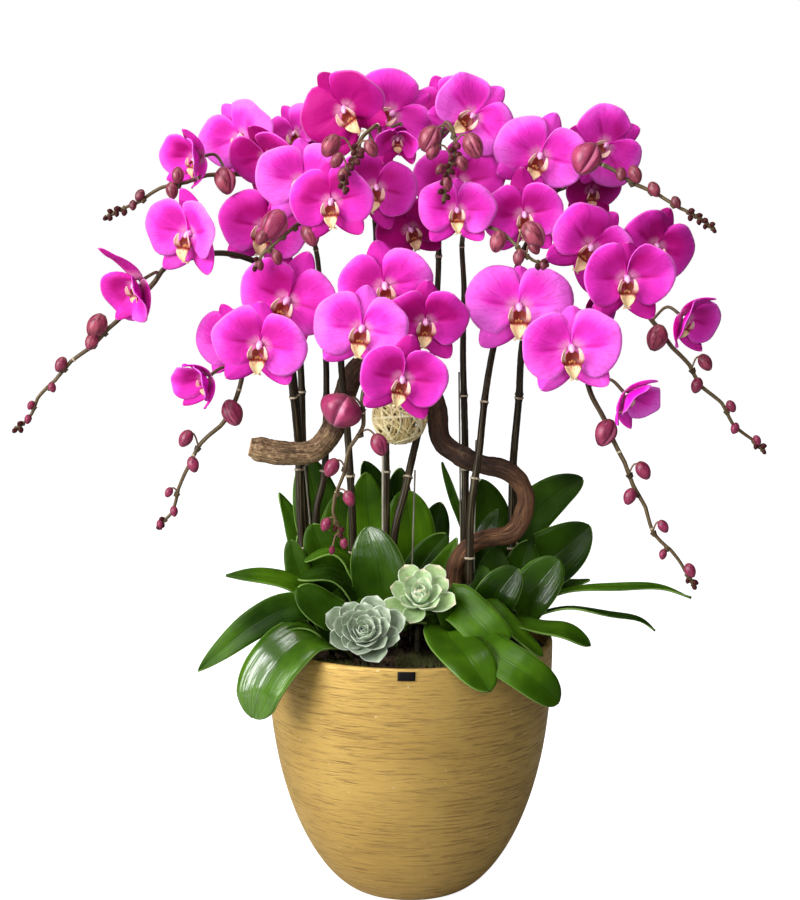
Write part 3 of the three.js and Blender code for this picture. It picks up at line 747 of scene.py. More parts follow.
# The leaves of the eight plants, each blade with its rib, its width and the way it faces. The
# blades under "more" and the infill are a piece of their own, which CAD doesn't have
leafShape = {
    "heartLift": 0.0108,
    "rows": 30,
    "columns": 10,
    "thickness": 0.0019,
    "crease": 0.24,
    "curl": 0.10,
    "wave": 0.0016,
    "petiole": 0.28,
    "roundFrom": 0.64,
    "roundPower": 2.5,
    "pointedFrom": 0.36,
    "pointedPower": 1.9,
}
viewer = Vector((0, -1, 0.35))
skyward = Vector((0, -0.35, 1))
# a blade's tone is in part painted light and shade: lighter on lit blades, darker on blades at the
# shaded right, at the back and low in the fans
leafPlants = {
    "leaves_left_front": {"foot": (-72, 62), "blades": [
        ([(322, 640, 84), (303, 640, 98), (279, 660, 110), (262, 686, 115), (254, 718, 111)],
         60, Vector((0.03, -0.52, 1)),
         {"start": 0.75, "point": 0.1, "gloss": 0.9, "tone": 0.10}),
        ([(316, 610, 66), (290, 608, 74), (255, 624, 80), (222, 650, 82), (198, 671, 80)],
         33, viewer, {"start": 0.5, "point": 0.8, "tone": -0.10}),
        ([(345, 625, 67), (322, 608, 71), (297, 588, 74)], 34, viewer)]},
    "leaves_left": {"foot": (-97, 8), "blades": [
        ([(302, 600, 20), (278, 613, 42), (250, 632, 50)], 22, skyward),
        ([(304, 592, 8), (290, 583, 14), (262, 577, 22), (226, 575, 26)], 27,
         Vector((0, -0.7, 1)), {"start": 0.5, "point": 0.9, "tone": 0.1}),
        ([(306, 600, -2), (298, 570, -4), (290, 540, -8)], 26, viewer)]},
    "leaves_left_back": {"foot": (-70, -52), "blades": [
        ([(340, 596, -30), (329, 568, -16), (312, 524, -12)], 40, viewer),
        ([(346, 590, -88), (324, 530, -98), (306, 456, -108)], 56, viewer),
        ([(331, 592, -92), (304, 550, -100), (290, 515, -102), (279, 493, -98)], 30, viewer,
         {"point": 0.8})],
        "more": [([(344, 592, -72), (338, 540, -76), (340, 492, -76)], 44, viewer, {"start": 0.5}),
        ([(336, 592, -52), (320, 560, -52), (300, 532, -52)], 36, viewer, {"start": 0.5})]},
    "leaves_centre": {"foot": (-32, 31), "blades": [
        ([(384, 606, 22), (380, 572, 31), (373, 545, 35), (367, 527, 29)], 60,
         Vector((-0.36, -0.9, 0.2)), {"start": 0.7, "point": 0.4, "tone": -0.16, "gloss": 0.9}),
        ([(352, 590, 22), (330, 574, 26), (298, 580, 32)], 28, skyward),
        ([(358, 575, 10), (334, 552, 10), (305, 562, 12)], 20, skyward),
        ([(350, 612, 46), (318, 590, 54), (334, 604, 64)], 14, skyward)]},
    "leaves_back": {"foot": (-8, -62), "blades": [
        ([(376, 560, -62), (368, 512, -62), (366, 472, -60)], 50, viewer,
         {"start": 0.5, "tone": 0.16}),
        ([(388, 550, -90), (376, 490, -94), (364, 461, -92)], 34, viewer,
         {"start": 0.5, "tone": -0.2}),
        ([(412, 574, -52), (410, 530, -48), (405, 490, -44)], 52, viewer, {"start": 0.5}),
        ([(420, 580, -78), (434, 530, -88), (440, 502, -90)], 36, viewer,
         {"start": 0.5, "tone": -0.2}),
        ([(412, 586, -30), (428, 556, -26), (447, 534, -22)], 34, viewer)],
        "more": [([(396, 550, -90), (398, 500, -94), (400, 468, -92)], 34, viewer,
         {"start": 0.5, "tone": -0.2}),
        ([(420, 606, -12), (440, 572, -8), (457, 538, -8)], 36, viewer,
         {"start": 0.5, "point": 0.9, "tone": 0.12})]},
    "leaves_right_back": {"foot": (62, -66), "blades": [
        ([(482, 570, -74), (488, 520, -84), (482, 479, -84)], 54, viewer),
        ([(474, 560, -60), (454, 500, -62), (442, 462, -62)], 9, viewer),
        ([(500, 560, -84), (528, 518, -92), (556, 493, -94), (583, 479, -94)], 46, viewer,
         {"start": 0.4, "tone": -0.2}),
        ([(478, 560, -51), (488, 530, -48), (499, 509, -57)], 28, viewer,
         {"point": 0.5, "gloss": 0.9}),
        ([(494, 586, -82), (528, 570, -84), (558, 553, -78), (590, 526, -72)], 62, viewer,
         {"tone": -0.16}),
        ([(520, 600, -77), (552, 588, -73), (590, 580, -68)], 14, viewer)]},
    "leaves_right": {"foot": (100, -14), "blades": [
        ([(536, 606, 6), (570, 590, 10), (620, 587, 14), (660, 588, 14), (691, 598, 14)],
         10, skyward),
        ([(540, 615, 22), (570, 608, 26), (610, 614, 30), (640, 620, 30), (655, 631, 30)],
         8, skyward),
        ([(508, 622, 12), (532, 592, 24), (559, 559, 21)], 46, viewer,
         {"gloss": 0.35, "tone": -0.08})],
        "more": [([(520, 620, -10), (520, 580, -16), (528, 540, -18)], 40, viewer,
         {"start": 0.5, "tone": -0.2}),
        ([(500, 620, 0), (494, 580, -10), (496, 548, -14)], 36, viewer,
         {"start": 0.5, "tone": -0.2})]},
    "leaves_right_front": {"foot": (58, 52), "blades": [
        ([(447, 632, 82), (452, 642, 100), (469, 661, 129), (489, 692, 146)], 50, skyward,
         {"start": 0.7, "point": 0.05, "gloss": 0.15}),
        ([(480, 638, 92), (497, 655, 118), (522, 672, 134), (542, 687, 134), (559, 702, 128)],
         37, Vector((0.1, -1, 0.7)), {"start": 0.3, "point": 0.0, "blunt": 0.3, "tone": -0.02}),
        ([(456, 604, 64), (472, 616, 83), (487, 632, 95), (498, 649, 96)], 40,
         viewer, {"start": 0.9, "blunt": 1.0, "tone": 0.02}),
        ([(484, 604, 48), (500, 618, 62), (522, 638, 72), (543, 656, 74)], 26, skyward,
         {"blunt": 0.8, "tone": 0.1}),
        ([(493, 622, 43), (540, 628, 56), (566, 632, 60), (590, 646, 60)], 30, skyward,
         {"blunt": 0.5, "tone": -0.05}),
        ([(488, 612, 36), (498, 594, 44), (518, 568, 42)], 42, viewer, {"gloss": 0.25})],
        "more": [([(476, 612, 34), (480, 592, 30), (484, 566, 16)], 24, viewer,
         {"start": 0.5, "tone": -0.2})]},
}


# Short blades low in the fans: heading in degrees, and length, rise and width in millimetres
infill = {
    "leaves_left_front": [(205, 60, 30, 26), (100, 70, 45, 30), (20, 58, 34, 26)],
    "leaves_left": [(60, 70, 50, 30), (330, 70, 40, 30)],
    "leaves_left_back": [(0, 80, 60, 34), (300, 70, 50, 30)],
    "leaves_centre": [(30, 75, 40, 32), (80, 80, 55, 34), (335, 66, 30, 26)],
    "leaves_back": [(0, 80, 60, 36), (180, 80, 60, 34), (320, 84, 46, 34)],
    "leaves_right_back": [(200, 80, 55, 34), (250, 84, 46, 34), (350, 70, 50, 30)],
    "leaves_right": [(190, 80, 50, 32), (260, 70, 36, 28)],
    "leaves_right_front": [(150, 80, 45, 34), (190, 62, 30, 26), (60, 70, 50, 30)],
}


def leafMaterial():
    # the first shade is the blade's tone, random or listed per blade; the listed tones are partly
    # painted light and shade, darker on blades at the shaded right and back. The second is how
    # glossy it is
    material, tree, shader = newMaterial("glossyLeaf", {"Coat Roughness": 0.08, "Coat IOR": 1.85})
    tone, gloss = shadeParts(tree)
    uv, across, _ = routeParts(tree)
    tree.links.new(grey(tree, gloss, 0, 1, 0.09, 0.3), shader.inputs["Specular IOR Level"])
    streak = noiseValue(tree, stretched(tree, uv, (20, 2.4, 1)), 1.4, 5.0, 0.75, 0.8)
    shine = times(tree, grey(tree, gloss, 0, 1, 0.09, 1.0),
                  grey(tree, streak, 0.45, 0.56, 0.0, 1.0))
    tree.links.new(shine, shader.inputs["Coat Weight"])
    broad = bodyNoise(tree, 16.0, 3.0)
    toned = plus(tree, broad, tone)
    base = ramp(tree, toned, [(0.22, (0.005, 0.018, 0.0006)), (0.5, (0.034, 0.093, 0.002)),
                              (0.80, (0.105, 0.250, 0.006))])
    veins = noiseValue(tree, stretched(tree, uv, (34, 1.2, 1)), 1.6, 3.0, 0.6)
    veined = blendColour(tree, grey(tree, veins, 0.35, 0.7, 0.0, 0.5), base,
                         (0.030, 0.080, 0.003))
    aside = maths(tree, "ABSOLUTE", maths(tree, "SUBTRACT", across, 0.5))
    rib = grey(tree, aside, 0.0, 0.026, 0.42, 0.0)
    ribbed = blendColour(tree, rib, veined, (0.018, 0.050, 0.002))
    # a pale rim along the blade's edge: partly its paler margin, partly a painted highlight along
    # the edge
    rim = grey(tree, aside, 0.480, 0.5, 0.0, 0.75)
    paint(tree, shader, blendColour(tree, rim, ribbed, (0.22, 0.37, 0.08)),
          grey(tree, broad, 0.3, 0.7, 0.30, 0.42))
    height = plus(tree, times(tree, veins, 0.6),
                   times(tree, rib, -1.2))
    addBump(tree, shader, height, 0.45, 0.0010, coated=True)
    return material


def addBlade(sheets, points, width, face, rng, look=None):
    # look may set how wide the blade starts, how pointed or blunt it ends, its tone and gloss
    look = {"start": leafShape["petiole"], "point": rng.uniform(0.0, 0.5),
            "tone": rng.uniform(-0.26, 0.14), "gloss": 0.0, "blunt": 0.0, **(look or {})}
    line = evenRoute(catmullRoute(points, 10), 0.004)
    count = len(line) - 1
    half = width * millimetre / 2
    phase = rng.uniform(0, 6.28)
    tilt = rng.uniform(-0.10, 0.10)

    def frameAt(along):
        index = min(count - 1, int(along * count))
        point = line[index].lerp(line[index + 1], along * count - index)
        low, high = max(0, index - 2), min(count, index + 3)
        tangent = (line[high] - line[low]).normalized()
        upper = (face - tangent * face.dot(tangent)).normalized()
        side = upper.cross(tangent)
        return point, upper, side

    def outline(along):
        base = mix(look["start"], 1.0, smooth(0.04, 0.52, along))
        start = mix(leafShape["roundFrom"], leafShape["pointedFrom"], look["point"])
        start = mix(start, 0.94, look["blunt"])
        power = mix(leafShape["roundPower"], leafShape["pointedPower"], look["point"])
        left = max(0.0, (along - start) / (1 - start))
        return base * max(0.0, 1 - left ** power) ** mix(0.5, 0.85, look["point"])

    def place(a, b):
        along = 1 - (1 - a) ** 1.25  # rows crowd towards the tip
        point, upper, side = frameAt(min(along, 0.9999))
        across = 2 * b - 1
        reach = half * outline(min(along, 0.9992))
        away = abs(across)
        lift = leafShape["crease"] * reach * away ** 1.25 - leafShape["curl"] * reach * away ** 4
        lift += leafShape["wave"] * away ** 2 * sin(along * 9 + phase + across)
        lift += tilt * reach * across
        return point + side * across * reach + upper * lift, (b, along, look["tone"], look["gloss"])

    sheets.grid(leafShape["rows"], leafShape["columns"], place)


def makeLeaves():
    green = leafMaterial()
    for index, (node, plant) in enumerate(leafPlants.items()):
        rng = random.Random(100 + index)
        sheets = Sheets()
        low = Sheets()
        heart = standing(plant["foot"], leafShape["heartLift"])
        for rib, width, face, *look in plant["blades"]:
            addBlade(sheets, [heart] + [spot(p) for p in rib], width, face, rng, *look)
        for rib, width, face, *look in plant.get("more", []):
            addBlade(low, [heart] + [spot(p) for p in rib], width, face, rng, *look)
        for heading, length, rise, width in infill[node]:
            way = Vector((cos(radians(heading)), sin(radians(heading)), 0))
            up = Vector((0, 0, rise * millimetre))
            reach = way * length * millimetre
            rib = [heart, heart + reach * 0.35 + up * 0.62, heart + reach * 0.72 + up,
                   heart + reach + up * 0.92]
            addBlade(low, rib, width, Vector((0, -0.25, 1)), rng, {"start": 0.5})
        for made, name in ((sheets, "foliage"), (low, "low_foliage")):
            piece = made.piece(node.replace("leaves", name), [green])
            thicken(piece, leafShape["thickness"])
            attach(piece, "root")
            if made is sheets:
                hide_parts(node)


makeLeaves()
print("leaves are made")


# Twigs, stems and canes are all routes of points, each with its own thickness there
def routeMesh(name, routes):
    verts, edges, thick, along = [], [], [], []
    for line, radii in routes:
        first = len(verts)
        run = 0.0
        for index, point in enumerate(line):
            run += (point - line[index - 1]).length if index else 0.0
            verts.append(tuple(point))
            thick.append(radii[index])
            along.append(run)
        edges += [(first + k, first + k + 1) for k in range(len(line) - 1)]
    mesh = bpy.data.meshes.new(name)
    mesh.from_pydata(verts, edges, [])
    for label, values in (("thick", thick), ("along", along)):
        mesh.attributes.new(label, "FLOAT", "POINT").data.foreach_set("value", values)
    return mesh


def readAttribute(tree, name):
    return out(addNode(tree, "GeometryNodeInputNamedAttribute", {"Name": name},
                       data_type="FLOAT"), "Attribute")


def sweepTree(name):
    # a round skin along every route, roughened by noise, with its cut ends in another material
    tree, begin, end = newTree(name, {
        "Sides": "Int", "Lumps": "Float", "Lump Scale": "Float", "Skin": "Material",
        "Cut": "Material"})
    take = begin.outputs
    route = addNode(tree, "GeometryNodeMeshToCurve", {"Mesh": take["Geometry"]})
    circle = addNode(tree, "GeometryNodeCurvePrimitiveCircle", {
        "Resolution": take["Sides"], "Radius": 1.0})
    marked = storeValue(tree, out(circle, "Curve"), "ring",
                        out(addNode(tree, "GeometryNodeInputPosition")), "FLOAT_VECTOR")
    skin = addNode(tree, "GeometryNodeCurveToMesh", {
        "Curve": out(route), "Profile Curve": marked,
        "Scale": readAttribute(tree, "thick"), "Fill Caps": True})
    rough = addNode(tree, "ShaderNodeTexNoise", {
        "Scale": take["Lump Scale"], "Detail": 3.0, "Roughness": 0.6})
    push = times(tree, maths(tree, "SUBTRACT", out(rough, "Fac"), 0.5),
                 times(tree, take["Lumps"], readAttribute(tree, "thick")))
    offset = addNode(tree, "ShaderNodeVectorMath", {
        0: out(addNode(tree, "GeometryNodeInputNormal"), "Normal"), "Scale": push},
        operation="SCALE")
    rough = addNode(tree, "GeometryNodeSetPosition", {
        "Geometry": out(skin), "Offset": out(offset)})
    covered = addNode(tree, "GeometryNodeSetMaterial", {
        "Geometry": realized(tree, smoothed(tree, out(rough))),
        "Material": take["Skin"]})
    corners = addNode(tree, "GeometryNodeInputMeshFaceNeighbors")
    capped = addNode(tree, "FunctionNodeCompare", {
        "A": out(corners, "Vertex Count"), "B": 4}, data_type="INT", operation="GREATER_THAN")
    finished = addNode(tree, "GeometryNodeSetMaterial", {
        "Geometry": out(covered), "Selection": out(capped), "Material": take["Cut"]})
    tree.links.new(out(finished), end.inputs["Geometry"])
    return tree


sweep = sweepTree("sweepRoutes")


def sweepRoutes(name, routes, sides, skin, cut=None, lumps=0.0, lumpScale=60.0):
    piece = newPiece(name, routeMesh(name, routes))
    return runTree(piece, sweep, {"Sides": sides, "Lumps": lumps, "Lump Scale": lumpScale,
                                  "Skin": skin, "Cut": cut or skin})


def attributeFac(tree, name):
    return out(addNode(tree, "ShaderNodeAttribute", attribute_name=name), "Fac")


def lengthwise(tree, around, along):
    # a place on the skin, stretched along the route
    ring = out(addNode(tree, "ShaderNodeAttribute", attribute_name="ring"), "Vector")
    parts = addNode(tree, "ShaderNodeSeparateXYZ", {"Vector": ring})
    return out(addNode(tree, "ShaderNodeCombineXYZ", {
        "X": times(tree, parts.outputs["X"], around),
        "Y": times(tree, parts.outputs["Y"], around),
        "Z": times(tree, attributeFac(tree, "along"), along)}))


# Succulents: thick leaves set out by the golden angle, the inner ones smaller and upright
succulents = {
    "succulent_front": {
        "piece": "rosette_front", "at": (364, 638, 92), "foot": (-44, 78), "radius": 0.0410,
        "pitch": 40, "spin": 0.3, "leaves": 58, "halfWidth": 0.34, "smallest": 0.17,
        "flat": -0.02, "upright": 1.48, "rise": 0.06, "seed": 3,
        "inner": (0.42, 0.52, 0.35), "outer": (0.27, 0.34, 0.23), "edge": (0.55, 0.63, 0.50),
        "tip": (0.60, 0.67, 0.53), "mottleAndShadeTint": (0.14, 0.22, 0.09)},
    "succulent_back": {
        "piece": "rosette_back", "at": (420, 603, 61), "foot": (8, 42), "radius": 0.0400,
        "pitch": 44, "spin": 1.1, "leaves": 25, "halfWidth": 0.32, "smallest": 0.44,
        "flat": -0.12, "upright": 1.36, "rise": 0.05, "seed": 9,
        "inner": (0.72, 0.85, 0.66), "outer": (0.47, 0.64, 0.28), "edge": (0.90, 0.95, 0.78),
        "tip": (0.88, 0.76, 0.56), "mottleAndShadeTint": (0.24, 0.42, 0.10)},
}
succulentLeaf = {"rows": 12, "sides": 14, "thick": 0.085, "dish": 0.17, "curl": 0.34,
                 "point": 0.04, "stalkRadius": 0.0036}
goldenAngle = pi * (3 - sqrt(5))


def succulentMaterial(name, look):
    material, tree, shader = newMaterial(name, {"Roughness": 0.55, "Subsurface Weight": 0.12,
        "Subsurface Radius": (0.6, 1.0, 0.4), "Subsurface Scale": 0.003, "Sheen Weight": 0.25,
        "Sheen Roughness": 0.6})
    _, aside, along = routeParts(tree)
    ratio = attributeFac(tree, "ratio")
    body = blendColour(tree, ratio, look["outer"], look["inner"])
    cloud = bodyNoise(tree, 150.0, 5.0, 0.65)
    body = blendColour(tree, grey(tree, cloud, 0.40, 0.62, 0.0, 0.5), body,
                       look["mottleAndShadeTint"])
    # darker towards each leaf's base: painted shade deep in the rosette
    body = blendColour(tree, grey(tree, along, 0.72, 0.2, 0.0, 0.75), body,
                       look["mottleAndShadeTint"])
    edge = times(tree, grey(tree, aside, 0.86, 0.99), grey(tree, along, 0.1, 0.5))
    edged = blendColour(tree, times(tree, edge, 0.9), body, look["edge"])
    tipped = grey(tree, along, 0.90, 0.99, 0.0, 0.9)
    paint(tree, shader, blendColour(tree, tipped, edged, look["tip"]))
    addBump(tree, shader, cloud, 0.5, 0.0009)
    return material


def succulentLeafMesh(name, halfWidth, material):
    # one plump pointed leaf along +X, one unit long, its upper side towards +Z
    def place(a, b):
        turn = fullTurn * b
        left = max(0.0, (a - 0.66) / 0.34)
        reach = halfWidth * (0.42 + 0.58 * smooth(0.0, 0.6, a))
        reach *= sqrt(max(0.0, 1 - left ** 2.5))
        body = sqrt(max(0.0, 1 - a ** 5)) * (0.5 + 0.5 * smooth(0, 0.4, a))
        upper = max(0.0, sin(turn))
        under = max(0.0, -sin(turn))
        z = succulentLeaf["thick"] * body * (0.35 * upper - under)
        z += succulentLeaf["dish"] * abs(cos(turn)) ** 2 * body
        z += succulentLeaf["curl"] * a * a
        x = a + succulentLeaf["point"] * smooth(0.9, 1.0, a)
        return Vector((x, reach * cos(turn), z)), (abs(cos(turn)), a)

    sheets = Sheets()
    rows, sides = succulentLeaf["rows"], succulentLeaf["sides"]
    sheets.closeEnds(sheets.grid(rows, sides, place, closed=True), rows, sides)
    return sheets.piece(name, [material])


def rosetteTree():
    tree, begin, end = newTree("rosetteSpiral", {
        "Leaf": "Object", "Leaves": "Int", "Radius": "Float", "Smallest": "Float",
        "Flat": "Float", "Upright": "Float", "Rise": "Float", "Seed": "Int",
        "Place": "Vector", "Turn": "Vector", "Material": "Material"})
    take = begin.outputs
    points = addNode(tree, "GeometryNodePoints", {"Count": take["Leaves"]})
    index = out(addNode(tree, "GeometryNodeInputIndex"))
    ratio = maths(tree, "DIVIDE", index, take["Leaves"])
    wobble = randomValue(tree, -1.0, 1.0, take["Seed"])
    opening = addNode(tree, "ShaderNodeMapRange", {
        "Value": maths(tree, "POWER", ratio, 0.85), "To Min": take["Flat"],
        "To Max": take["Upright"]})
    tilt = plus(tree, out(opening), times(tree, wobble, 0.13))
    turn = addNode(tree, "ShaderNodeCombineXYZ", {
        "Y": times(tree, tilt, -1.0), "Z": times(tree, index, goldenAngle)})
    size = addNode(tree, "ShaderNodeMapRange", {
        "Value": maths(tree, "POWER", ratio, 0.85), "To Min": 1.0, "To Max": take["Smallest"]})
    scale = times(tree, take["Radius"], plus(tree, out(size), times(tree, wobble, 0.035)))
    lift = addNode(tree, "ShaderNodeCombineXYZ", {
        "Z": times(tree, take["Radius"], times(tree, ratio, take["Rise"]))})
    lifted = addNode(tree, "GeometryNodeSetPosition", {
        "Geometry": out(points), "Offset": out(lift)})
    marked = storeValue(tree, out(lifted), "ratio", ratio)
    leaf = addNode(tree, "GeometryNodeObjectInfo", {"Object": take["Leaf"]})
    copies = addNode(tree, "GeometryNodeInstanceOnPoints", {
        "Points": marked, "Instance": out(leaf, "Geometry"),
        "Rotation": asRotation(tree, out(turn)), "Scale": scale})
    leaned = addNode(tree, "GeometryNodeTransform", {
        "Geometry": realized(tree, out(copies)), "Translation": take["Place"],
        "Rotation": asRotation(tree, take["Turn"])})
    return endTree(tree, end, smoothed(tree, out(leaned)), take["Material"])


def flowerBasis(yaw, pitch, roll):
    # right, top and look of something that looks to the right by yaw and up by pitch
    yaw, pitch = radians(yaw), radians(pitch)
    look = Vector((sin(yaw) * cos(pitch), -cos(yaw) * cos(pitch),
                   sin(pitch)))
    right = Vector((0, 0, 1)).cross(look).normalized()
    top = look.cross(right)
    basis = Matrix((right, top, look)).transposed()
    return basis @ Matrix.Rotation(radians(roll), 3, "Z")


def makeSucculents():
    spiral = rosetteTree()
    # the stalks are very dark: partly their brown-green, partly painted shade under the rosettes
    stalkBrownAndShade = grainMaterial("succulentStalk", (0.014, 0.012, 0.006), (0.07, 0.06, 0.03), 240.0)
    for node, look in succulents.items():
        material = succulentMaterial(look["piece"] + "Skin", look)
        centre = spot(look["at"])
        basis = flowerBasis(0, look["pitch"], 0)
        spun = basis @ Matrix.Rotation(look["spin"], 3, "Z")
        leaf = succulentLeafMesh(look["piece"] + "_leaf", look["halfWidth"], material)
        piece = newPiece(look["piece"], bpy.data.meshes.new(look["piece"]))
        values = {key.capitalize(): look[key] for key in (
            "leaves", "radius", "smallest", "flat", "upright", "rise", "seed")}
        runTree(piece, spiral, {**values, "Leaf": leaf, "Place": centre,
                                "Turn": Vector(spun.to_euler()), "Material": material})
        bpy.data.objects.remove(leaf)
        stalk = catmullRoute(rooted(look["foot"], [look["at"]]), 6)
        radius = succulentLeaf["stalkRadius"]
        trunk = sweepRoutes(look["piece"] + "_stalk", [(stalk, [radius] * len(stalk))], 12,
                            stalkBrownAndShade, lumps=0.5)
        joinPieces(piece, [trunk])
        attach(piece, "root")
        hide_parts(node)


makeSucculents()
print("succulents are made")


# The twisted vine, one rough piece of wood with a sawn end
vine = {
    "foot": (42, -6),
    "route": [(453, 590, 0), (455, 566, 2), (465, 550, 4), (484, 539, 6), (510, 534, 4),
              (521, 520, 0), (526, 499, -4), (519, 481, -6), (503, 469, -6), (484, 465, -6),
              (458, 454, -6), (441, 440, -6), (436, 408, -8), (424, 378, -8), (400, 362, -8),
              (372, 358, -10), (352, 376, -12), (340, 412, -14), (328, 437, -14),
              (313, 451, -12), (282, 453, -8), (250, 447, -4)],
    "footRadius": 0.0082,
    "tipRadius": 0.0120,
    "swell": 0.08,
    "sides": 28,
    "lumps": 0.34,
    "lumpScale": 70.0,
    "gap": 0.0025,
}


def barkMaterial():
    material, tree, shader = newMaterial("vineBark", {"Roughness": 0.8})
    length = attributeFac(tree, "along")
    grain = noiseValue(tree, lengthwise(tree, 1.6, 22.0), 1.8, 6.0, 0.65, 0.4)
    cracks = noiseValue(tree, lengthwise(tree, 4.5, 30.0), 1.5, 3.0, 0.7, 1.2)
    patch = bodyNoise(tree, 32.0, 3.0)
    flakes = bodyNoise(tree, 210.0, 5.0, 0.7, 0.6)
    rough = plus(tree, times(tree, grain, 0.4),
                  times(tree, flakes, 0.6))
    darkEnd = ramp(tree, rough, [(0.38, (0.030, 0.014, 0.007)), (0.5, (0.105, 0.052, 0.026)),
                                 (0.62, (0.27, 0.16, 0.080))])
    sunEnd = ramp(tree, rough, [(0.38, (0.095, 0.052, 0.022)), (0.5, (0.29, 0.175, 0.085)),
                                (0.62, (0.56, 0.38, 0.20))])
    bare = plus(tree, length, times(tree, maths(
        tree, "SUBTRACT", patch, 0.5), 0.05))
    paleEnd = blendColour(tree, grey(tree, bare, 0.508, 0.518), darkEnd, sunEnd)
    redEnd = ramp(tree, grain, [(0.30, (0.032, 0.012, 0.005)), (0.5, (0.150, 0.062, 0.024)),
                                (0.70, (0.34, 0.170, 0.080))])
    shaded = blendColour(tree, grey(tree, length, 0.19, 0.25, 0.0, 0.72), redEnd,
                         (0.022, 0.012, 0.009))
    # paler tan at the foot: partly the wood's own colour, partly painted light against the leaves'
    # shade
    tanAndLitFoot = blendColour(tree, grey(tree, length, 0.085, 0.03, 0.0, 0.5), shaded,
                          (0.40, 0.23, 0.10))
    wood = blendColour(tree, grey(tree, length, 0.31, 0.40), tanAndLitFoot, paleEnd)
    cracked = blendColour(tree, grey(tree, cracks, 0.56, 0.68, 0.0, 0.6), wood,
                          (0.016, 0.009, 0.006))
    worn = grey(tree, patch, 0.62, 0.74, 0.0, 0.45)
    paint(tree, shader, blendColour(tree, worn, cracked, (0.30, 0.20, 0.11)),
          grey(tree, grain, 0.3, 0.7, 0.62, 0.9))
    height = maths(tree, "SUBTRACT", rough, times(tree, grey(
        tree, cracks, 0.52, 0.66), 0.8))
    addBump(tree, shader, height, 0.9, 0.0024)
    return material


def sawnMaterial():
    return grainMaterial("sawnWood", (0.36, 0.19, 0.085), (0.62, 0.40, 0.22), 320.0,
                         roughness=0.75, detail=4.0, grit=0.55, bump=(0.5, 0.0006))


def makeVine():
    line = evenRoute(catmullRoute(rooted(vine["foot"], vine["route"]), 14), vine["gap"])
    radii = []
    for index in range(len(line)):
        part = index / (len(line) - 1)
        wave = 1 + vine["swell"] * noise.noise(Vector((part * 17, 0, 4)))
        knuckle = 1 + 0.18 * exp(-((part - 0.452) / 0.012) ** 2)
        blunt = 1 - 0.30 * smooth(0.984, 1.0, part) + 0.08 * smooth(0.90, 0.97, part)
        thick = mix(vine["footRadius"], vine["tipRadius"], part)
        radii.append(thick * wave * knuckle * blunt)
    piece = sweepRoutes("vine_wood", [(line, radii)], vine["sides"], barkMaterial(),
                        sawnMaterial(), vine["lumps"], vine["lumpScale"])
    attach(piece, "root")
    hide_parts("twisted_vine")


# The ball of cane strips, and its stake
ball = {"at": (400, 417, 18), "radius": 0.0275, "strips": 70, "width": 0.00150,
        "thick": 0.00035, "lean": [0.0, 0.24, -0.38, 0.52, -0.66, 0.8], "seed": 21,
        "sizes": (0.955, 0.99)}
ballStake = {"radius": 0.0013, "steps": 24, "sides": 12, "lumps": 0.25, "lumpScale": 90.0}


def ballTree():
    # hoops at several heights of the ball, each turned its own way
    tree, begin, end = newTree("wovenBall", {
        "Strips": "Int", "Radius": "Float", "Width": "Float", "Thick": "Float",
        "Seed": "Int", "Place": "Vector", "Material": "Material"})
    take = begin.outputs
    hoops = addNode(tree, "GeometryNodeGeometryToInstance")
    for lean in ball["lean"]:
        ring = addNode(tree, "GeometryNodeCurvePrimitiveCircle", {
            "Resolution": 40, "Radius": times(tree, take["Radius"],
                                              sqrt(1 - lean * lean))})
        strip = addNode(tree, "GeometryNodeCurvePrimitiveCircle", {
            "Resolution": 6, "Radius": take["Width"]})
        oval = addNode(tree, "GeometryNodeTransform", {
            "Geometry": out(strip, "Curve"),
            "Scale": out(addNode(tree, "ShaderNodeCombineXYZ", {
                "X": maths(tree, "DIVIDE", take["Thick"], take["Width"]), "Y": 1.0,
                "Z": 1.0}))})
        hoop = addNode(tree, "GeometryNodeCurveToMesh", {
            "Curve": out(ring, "Curve"), "Profile Curve": out(oval)})
        lifted = addNode(tree, "GeometryNodeTransform", {
            "Geometry": out(hoop), "Translation": out(addNode(tree, "ShaderNodeCombineXYZ", {
                "Z": times(tree, take["Radius"], lean)}))})
        tree.links.new(out(lifted), hoops.inputs["Geometry"])
    points = addNode(tree, "GeometryNodePoints", {"Count": take["Strips"]})
    turn = randomValue(tree, (0.0, 0.0, 0.0), (6.283, 6.283, 6.283), take["Seed"],
                       "FLOAT_VECTOR")
    size = randomValue(tree, *ball["sizes"], take["Seed"])
    copies = addNode(tree, "GeometryNodeInstanceOnPoints", {
        "Points": out(points), "Instance": out(hoops), "Pick Instance": True,
        "Instance Index": randomValue(tree, 0, len(ball["lean"]) - 1, take["Seed"], "INT"),
        "Scale": size, "Rotation": asRotation(tree, turn)})
    tinted = storeValue(tree, out(copies), "tint", size, domain="INSTANCE")
    placed = addNode(tree, "GeometryNodeTransform", {
        "Geometry": realized(tree, tinted), "Translation": take["Place"]})
    return endTree(tree, end, smoothed(tree, out(placed)), take["Material"])


def caneMaterial():
    material, tree, shader = newMaterial("paleCane", {"Roughness": 0.6})
    tint = grey(tree, attributeFac(tree, "tint"), *ball["sizes"])
    fibre = bodyNoise(tree, 420.0, 3.0)
    light = ramp(tree, tint, [(0.0, (0.48, 0.35, 0.13)), (0.5, (0.80, 0.66, 0.31)),
                              (1.0, (0.97, 0.88, 0.55))])
    paint(tree, shader, blendColour(tree, grey(tree, fibre, 0.4, 0.75, 0.0, 0.45), light,
                                    (0.34, 0.24, 0.11)))
    addBump(tree, shader, fibre, 0.4, 0.0004)
    return material


def stakeMaterial():
    return grainMaterial("paleStake", (0.17, 0.15, 0.10), (0.42, 0.39, 0.30), 3.0, 0.6, 0.5,
                         3.0, 0.55, (60, 60, 8), (0.3, 0.0004))


